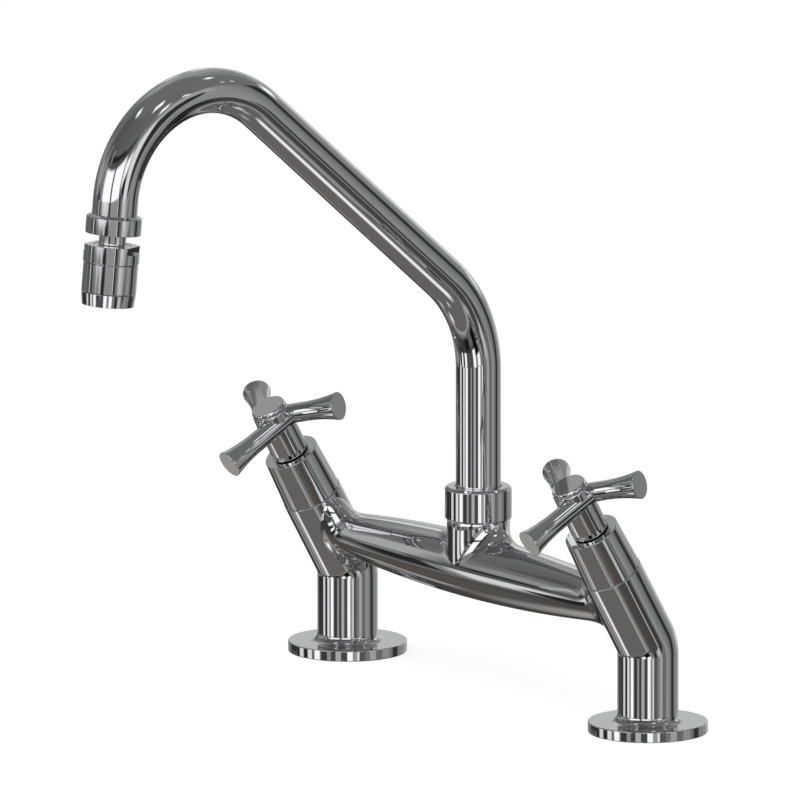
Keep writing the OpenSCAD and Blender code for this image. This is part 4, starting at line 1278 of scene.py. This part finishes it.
    def stripes(self):
        """Strip lights and flags that give the upright walls their crisp lines."""
        for name, start, end, code in (
                ("left_flag", 228, 238, "#2F2F2F"), ("front_left_light", 239, 249, "#FFFFFF"),
                ("front_left_grey", 249, 255, "#7A7A7A"), ("front_left_edge", 266, 270, "#989898"),
                ("front_left_flag", 270, 282, "#424242"), ("front_grey", 282, 290, "#A4A4A4"),
                ("front_flag", 290, 299, "#4E4E4E"), ("camera_light", 299, 310, "#C4C4C4"),
                ("camera_flag", 310, 322, "#525252"), ("camera_grey", 333, 341, "#A8A8A8"),
                ("near_right_light", 341, 346, "#FFFFFF"), ("near_right_flag", 346, 358, "#626262"),
                ("right_grey", 358, 367, "#848484"), ("right_light", 367, 380, "#B6B6B6"),
                ("right_dark", 380, 395, "#787878"), ("right_pale", 395, 412, "#A0A0A0")):
            self.card(f"stripe_{name}", start, end, -14, -9, code, soft=0.5, layer=7)
        for name, start, end in (("front_left", 255, 267), ("camera", 322, 333)):
            self.card(f"stripe_{name}_window", start, end, -14, -9, "#FFFFFF", soft=0.5,
                      strength=1.35, layer=7)
        # The row above is a dim wall with fine bright lines, which the outlet's barrel mirrors
        self.card("upper_row", 142, 350, -8.8, -1, "#5C5C5C", "#686868", soft=1.2, layer=6)
        for name, start, end, code in (
                ("left", 162, 168, "#8C8C8C"), ("left_mid", 178, 186, "#808080"),
                ("left_line", 196, 199, "#A0A0A0"), ("left_pale", 208, 214, "#8C8C8C"),
                ("front_left", 231, 235, "#F4F4F4"), ("front_left_dark", 240, 245, "#303030"),
                ("front_left_grey", 250, 262, "#888888"), ("front_left_pale", 268, 276, "#8C8C8C"),
                ("front_line", 281.5, 285, "#F4F4F4"), ("front_dark", 287, 300, "#343434"),
                ("front_pale", 302, 333, "#A4A4A4"), ("front_pale_line", 305, 307, "#FFFFFF"),
                ("camera_line", 312, 314, "#FFFFFF"), ("camera_dark", 315, 318, "#4A4A4A"),
                ("camera_pale_line", 324, 327, "#FFFFFF"), ("near_right_line", 334, 337, "#FFFFFF"),
                ("near_right_dark", 338, 344, "#303030")):
            self.card(f"upper_stripe_{name}", start, end, -8.8, -1, code, soft=0.6, layer=7)
        # The lower row is crisper: black and white strips, as in the outlet's tapered mouth
        for name, start, end, low, code in (
                ("left_flag", 222, 233, -30, "#2A2A2A"),
                ("front_left_light", 233, 242, -26, "#FFFFFF"),
                ("front_left_flag", 242, 252, -30, "#363636"),
                ("front_left_window", 252, 265, -27, "#FFFFFF"),
                ("front_grey", 267, 300, -27, "#545454"),
                ("front_line", 274, 277, -27, "#AAAAAA"),
                ("front_line_right", 286, 289, -27, "#AAAAAA"),
                ("camera_window", 300, 315, -28, "#FFFFFF"),
                ("camera_grey", 317, 323, -22, "#9A9A9A"),
                ("camera_right_window", 323, 337, -22, "#FFFFFF"),
                ("near_right_grey", 337, 346, -26, "#8C8C8C")):
            self.card(f"low_stripe_{name}", start, end, low, -13.5, code, soft=1,
                      strength=1.3 if code == "#FFFFFF" else 1.0, layer=8)

    def ceiling(self):
        """A dim ceiling with a few small lamps."""
        self.card("ceiling_rear", 100, 215, 22, 63, "#989898", "#6E6E6E")
        self.card("ceiling_front", 215, 460, 22, 63, "#5E5E5E", "#828282")
        self.card("ceiling_glow", 118, 184, 27, 63, "#AAAAAA", soft=8, layer=1)
        self.disc("ceiling", "#7A7A7A", ROOM_R * math.tan(math.radians(62.5)), ROOM_R + 0.2)
        for name, start, end, low, high, soft in (
                ("front", 226, 260, 61, 69, 2.5), ("right", 343, 362, 49, 61, 3),
                ("rear", 62, 77, 52, 59, 2.5), ("rear_low", 84, 104, 17, 28, 4),
                ("right_low", 4, 14, 27, 37, 3), ("right_dot", 21, 25, 28, 33, 1),
                ("right_low_dot", 24, 27, 23, 27, 1), ("rear_dot", 49, 53, 35, 38, 1),
                ("rear_right_dot", 59, 63, 35, 38, 1)):
            self.card(f"ceiling_lamp_{name}", start, end, low, high, "#FFFFFF", soft=soft,
                      strength=1.4, near=0.5)

    def ground(self):
        """A dim floor with pools of light, and dark shapes along its edge."""
        for name, start, end, low, high, code, soft in (
                ("right", 45, 62, -32, -25, "#1E1E1E", 2.5),
                ("rear_right", 66, 88, -40, -32, "#121212", 3),
                ("rear", 101, 124, -42, -28, "#161616", 4),
                ("rear_gap", 127, 144, -36, -22, "#808080", 4),
                ("rear_left", 142, 159, -47, -35, "#2A2A2A", 3),
                ("left", 158, 172, -34, -20, "#282828", 3),
                ("left_mid", 190, 216, -42, -21, "#5F5B58", 6),
                ("left_pale", 170, 184, -46, -40, "#9A9692", 3),
                ("left_square", 181, 191, -39, -31, "#A8A6A4", 1.5),
                ("front_left", 263, 292, -42, -27, "#1E1E1E", 4),
                ("front_gap", 288, 315, -47, -28, "#76726D", 5),
                ("camera", 311, 334, -42, -21, "#121212", 3),
                ("near_right", 332, 347, -37, -23, "#9A9896", 4)):
            self.card(f"shade_{name}", start, end, low, high, code, soft=soft, layer=5)
        self.card("floor_line", 14, 60, -23.6, -22.2, "#BEBEBE", soft=0.4, layer=6)
        self.disc("floor", "#747170", -FLOOR_DROP - 0.1, ROOM_R + 0.2)
        for name, heading, below, spread, code, strength in (
                ("front", 348, 69, 10, "#FFFFFF", 1.3), ("left", 219, 52, 8, "#FFFFFF", 1.3),
                ("rear_left", 187, 52, 5.5, "#FFFFFF", 1.0),
                ("right", 52, 64, 6.5, "#FFFFFF", 1.0),
                ("front_left", 255, 73, 4.5, "#FFFFFF", 1.0),
                ("near_right", 9, 50, 5, "#B4B4B4", 1.0),
                ("right_far", 38, 49, 4, "#A8A8A8", 1.0), ("rear", 140, 75, 8, "#BCBCBC", 1.0),
                ("right_wide", 45, 71, 7, "#BCBCBC", 1.0)):
            self.pool(name, heading, below, spread, code, strength)

    def lamps(self):
        """Two soft lamps that light the floor and the matt pieces, unseen in the chrome."""
        for name, place, width, power in (("soft_key", (0.9, -1.2, 1.6), 1.4, 22),
                                          ("soft_fill", (-1.2, -0.6, 1.2), 1.4, 10)):
            light = bpy.data.lights.new(name, "AREA")
            light.size, light.energy = width, power
            lamp = bpy.data.objects.new(name, light)
            bpy.context.scene.collection.objects.link(lamp)
            lamp.location = place
            lamp.rotation_euler = (-Vector(place)).to_track_quat("-Z", "Y").to_euler()
            lamp.visible_glossy = False

    def camera(self, context):
        """The photo's lens is so long that its view is nearly parallel, so this camera stands
        far back, 53 degrees round to the right and 11 degrees up."""
        studio = context.scene.faucet_studio
        data = bpy.data.cameras.new("photo_camera")
        data.lens, data.sensor_width = studio.lens, 36
        data.clip_start, data.clip_end = 1, 100
        right = Vector((0.60247, 0.79814, -0.00042))
        above = Vector((-0.15723, 0.11920, 0.98034))
        back = right.cross(above)
        camera = bpy.data.objects.new("photo_camera", data)
        context.scene.collection.objects.link(camera)
        camera.location = studio.camera_place
        camera.rotation_euler = Matrix((right, above, back)).transposed().to_euler()
        context.scene.camera = camera
        context.scene.view_settings.view_transform = "Standard"


class FAUCET_PT_panel(Panel):
    """Lists the faucet's sizes, colours and steps"""
    bl_idname = "FAUCET_PT_panel"
    bl_label = "Bridge kitchen faucet"
    bl_space_type = "VIEW_3D"
    bl_region_type = "UI"
    bl_category = "Faucet"

    def draw(self, context):
        for step in STEPS:
            self.layout.operator(step.bl_idname)
        for group in (context.scene.faucet_sizes, context.scene.faucet_finish,
                      context.scene.faucet_studio):
            box = self.layout.box()
            for name in group.bl_rna.properties.keys():
                if name not in ("rna_type", "name"):
                    box.prop(group, name)


STEPS = (FAUCET_OT_carried, FAUCET_OT_legs, FAUCET_OT_flanges, FAUCET_OT_bridge,
         FAUCET_OT_lock_nut, FAUCET_OT_covers, FAUCET_OT_handles, FAUCET_OT_spout,
         FAUCET_OT_outlet, FAUCET_OT_studio)
GROUPS = {"faucet_sizes": FaucetSizes, "faucet_finish": FaucetFinish,
          "faucet_studio": FaucetStudio}


def register():
    for item in (*GROUPS.values(), *STEPS, FAUCET_PT_panel):
        bpy.utils.register_class(item)
    for name, group in GROUPS.items():
        setattr(bpy.types.Scene, name, PointerProperty(type=group))


def unregister():
    for name in GROUPS:
        delattr(bpy.types.Scene, name)
    for item in reversed((*GROUPS.values(), *STEPS, FAUCET_PT_panel)):
        bpy.utils.unregister_class(item)


def main():
    register()
    for step in STEPS:
        tool, name = step.bl_idname.split(".")
        if getattr(getattr(bpy.ops, tool), name)() != {"FINISHED"}:
            raise RuntimeError(f"the step {step.bl_label} didn't finish")


if __name__ == "__main__":
    main()
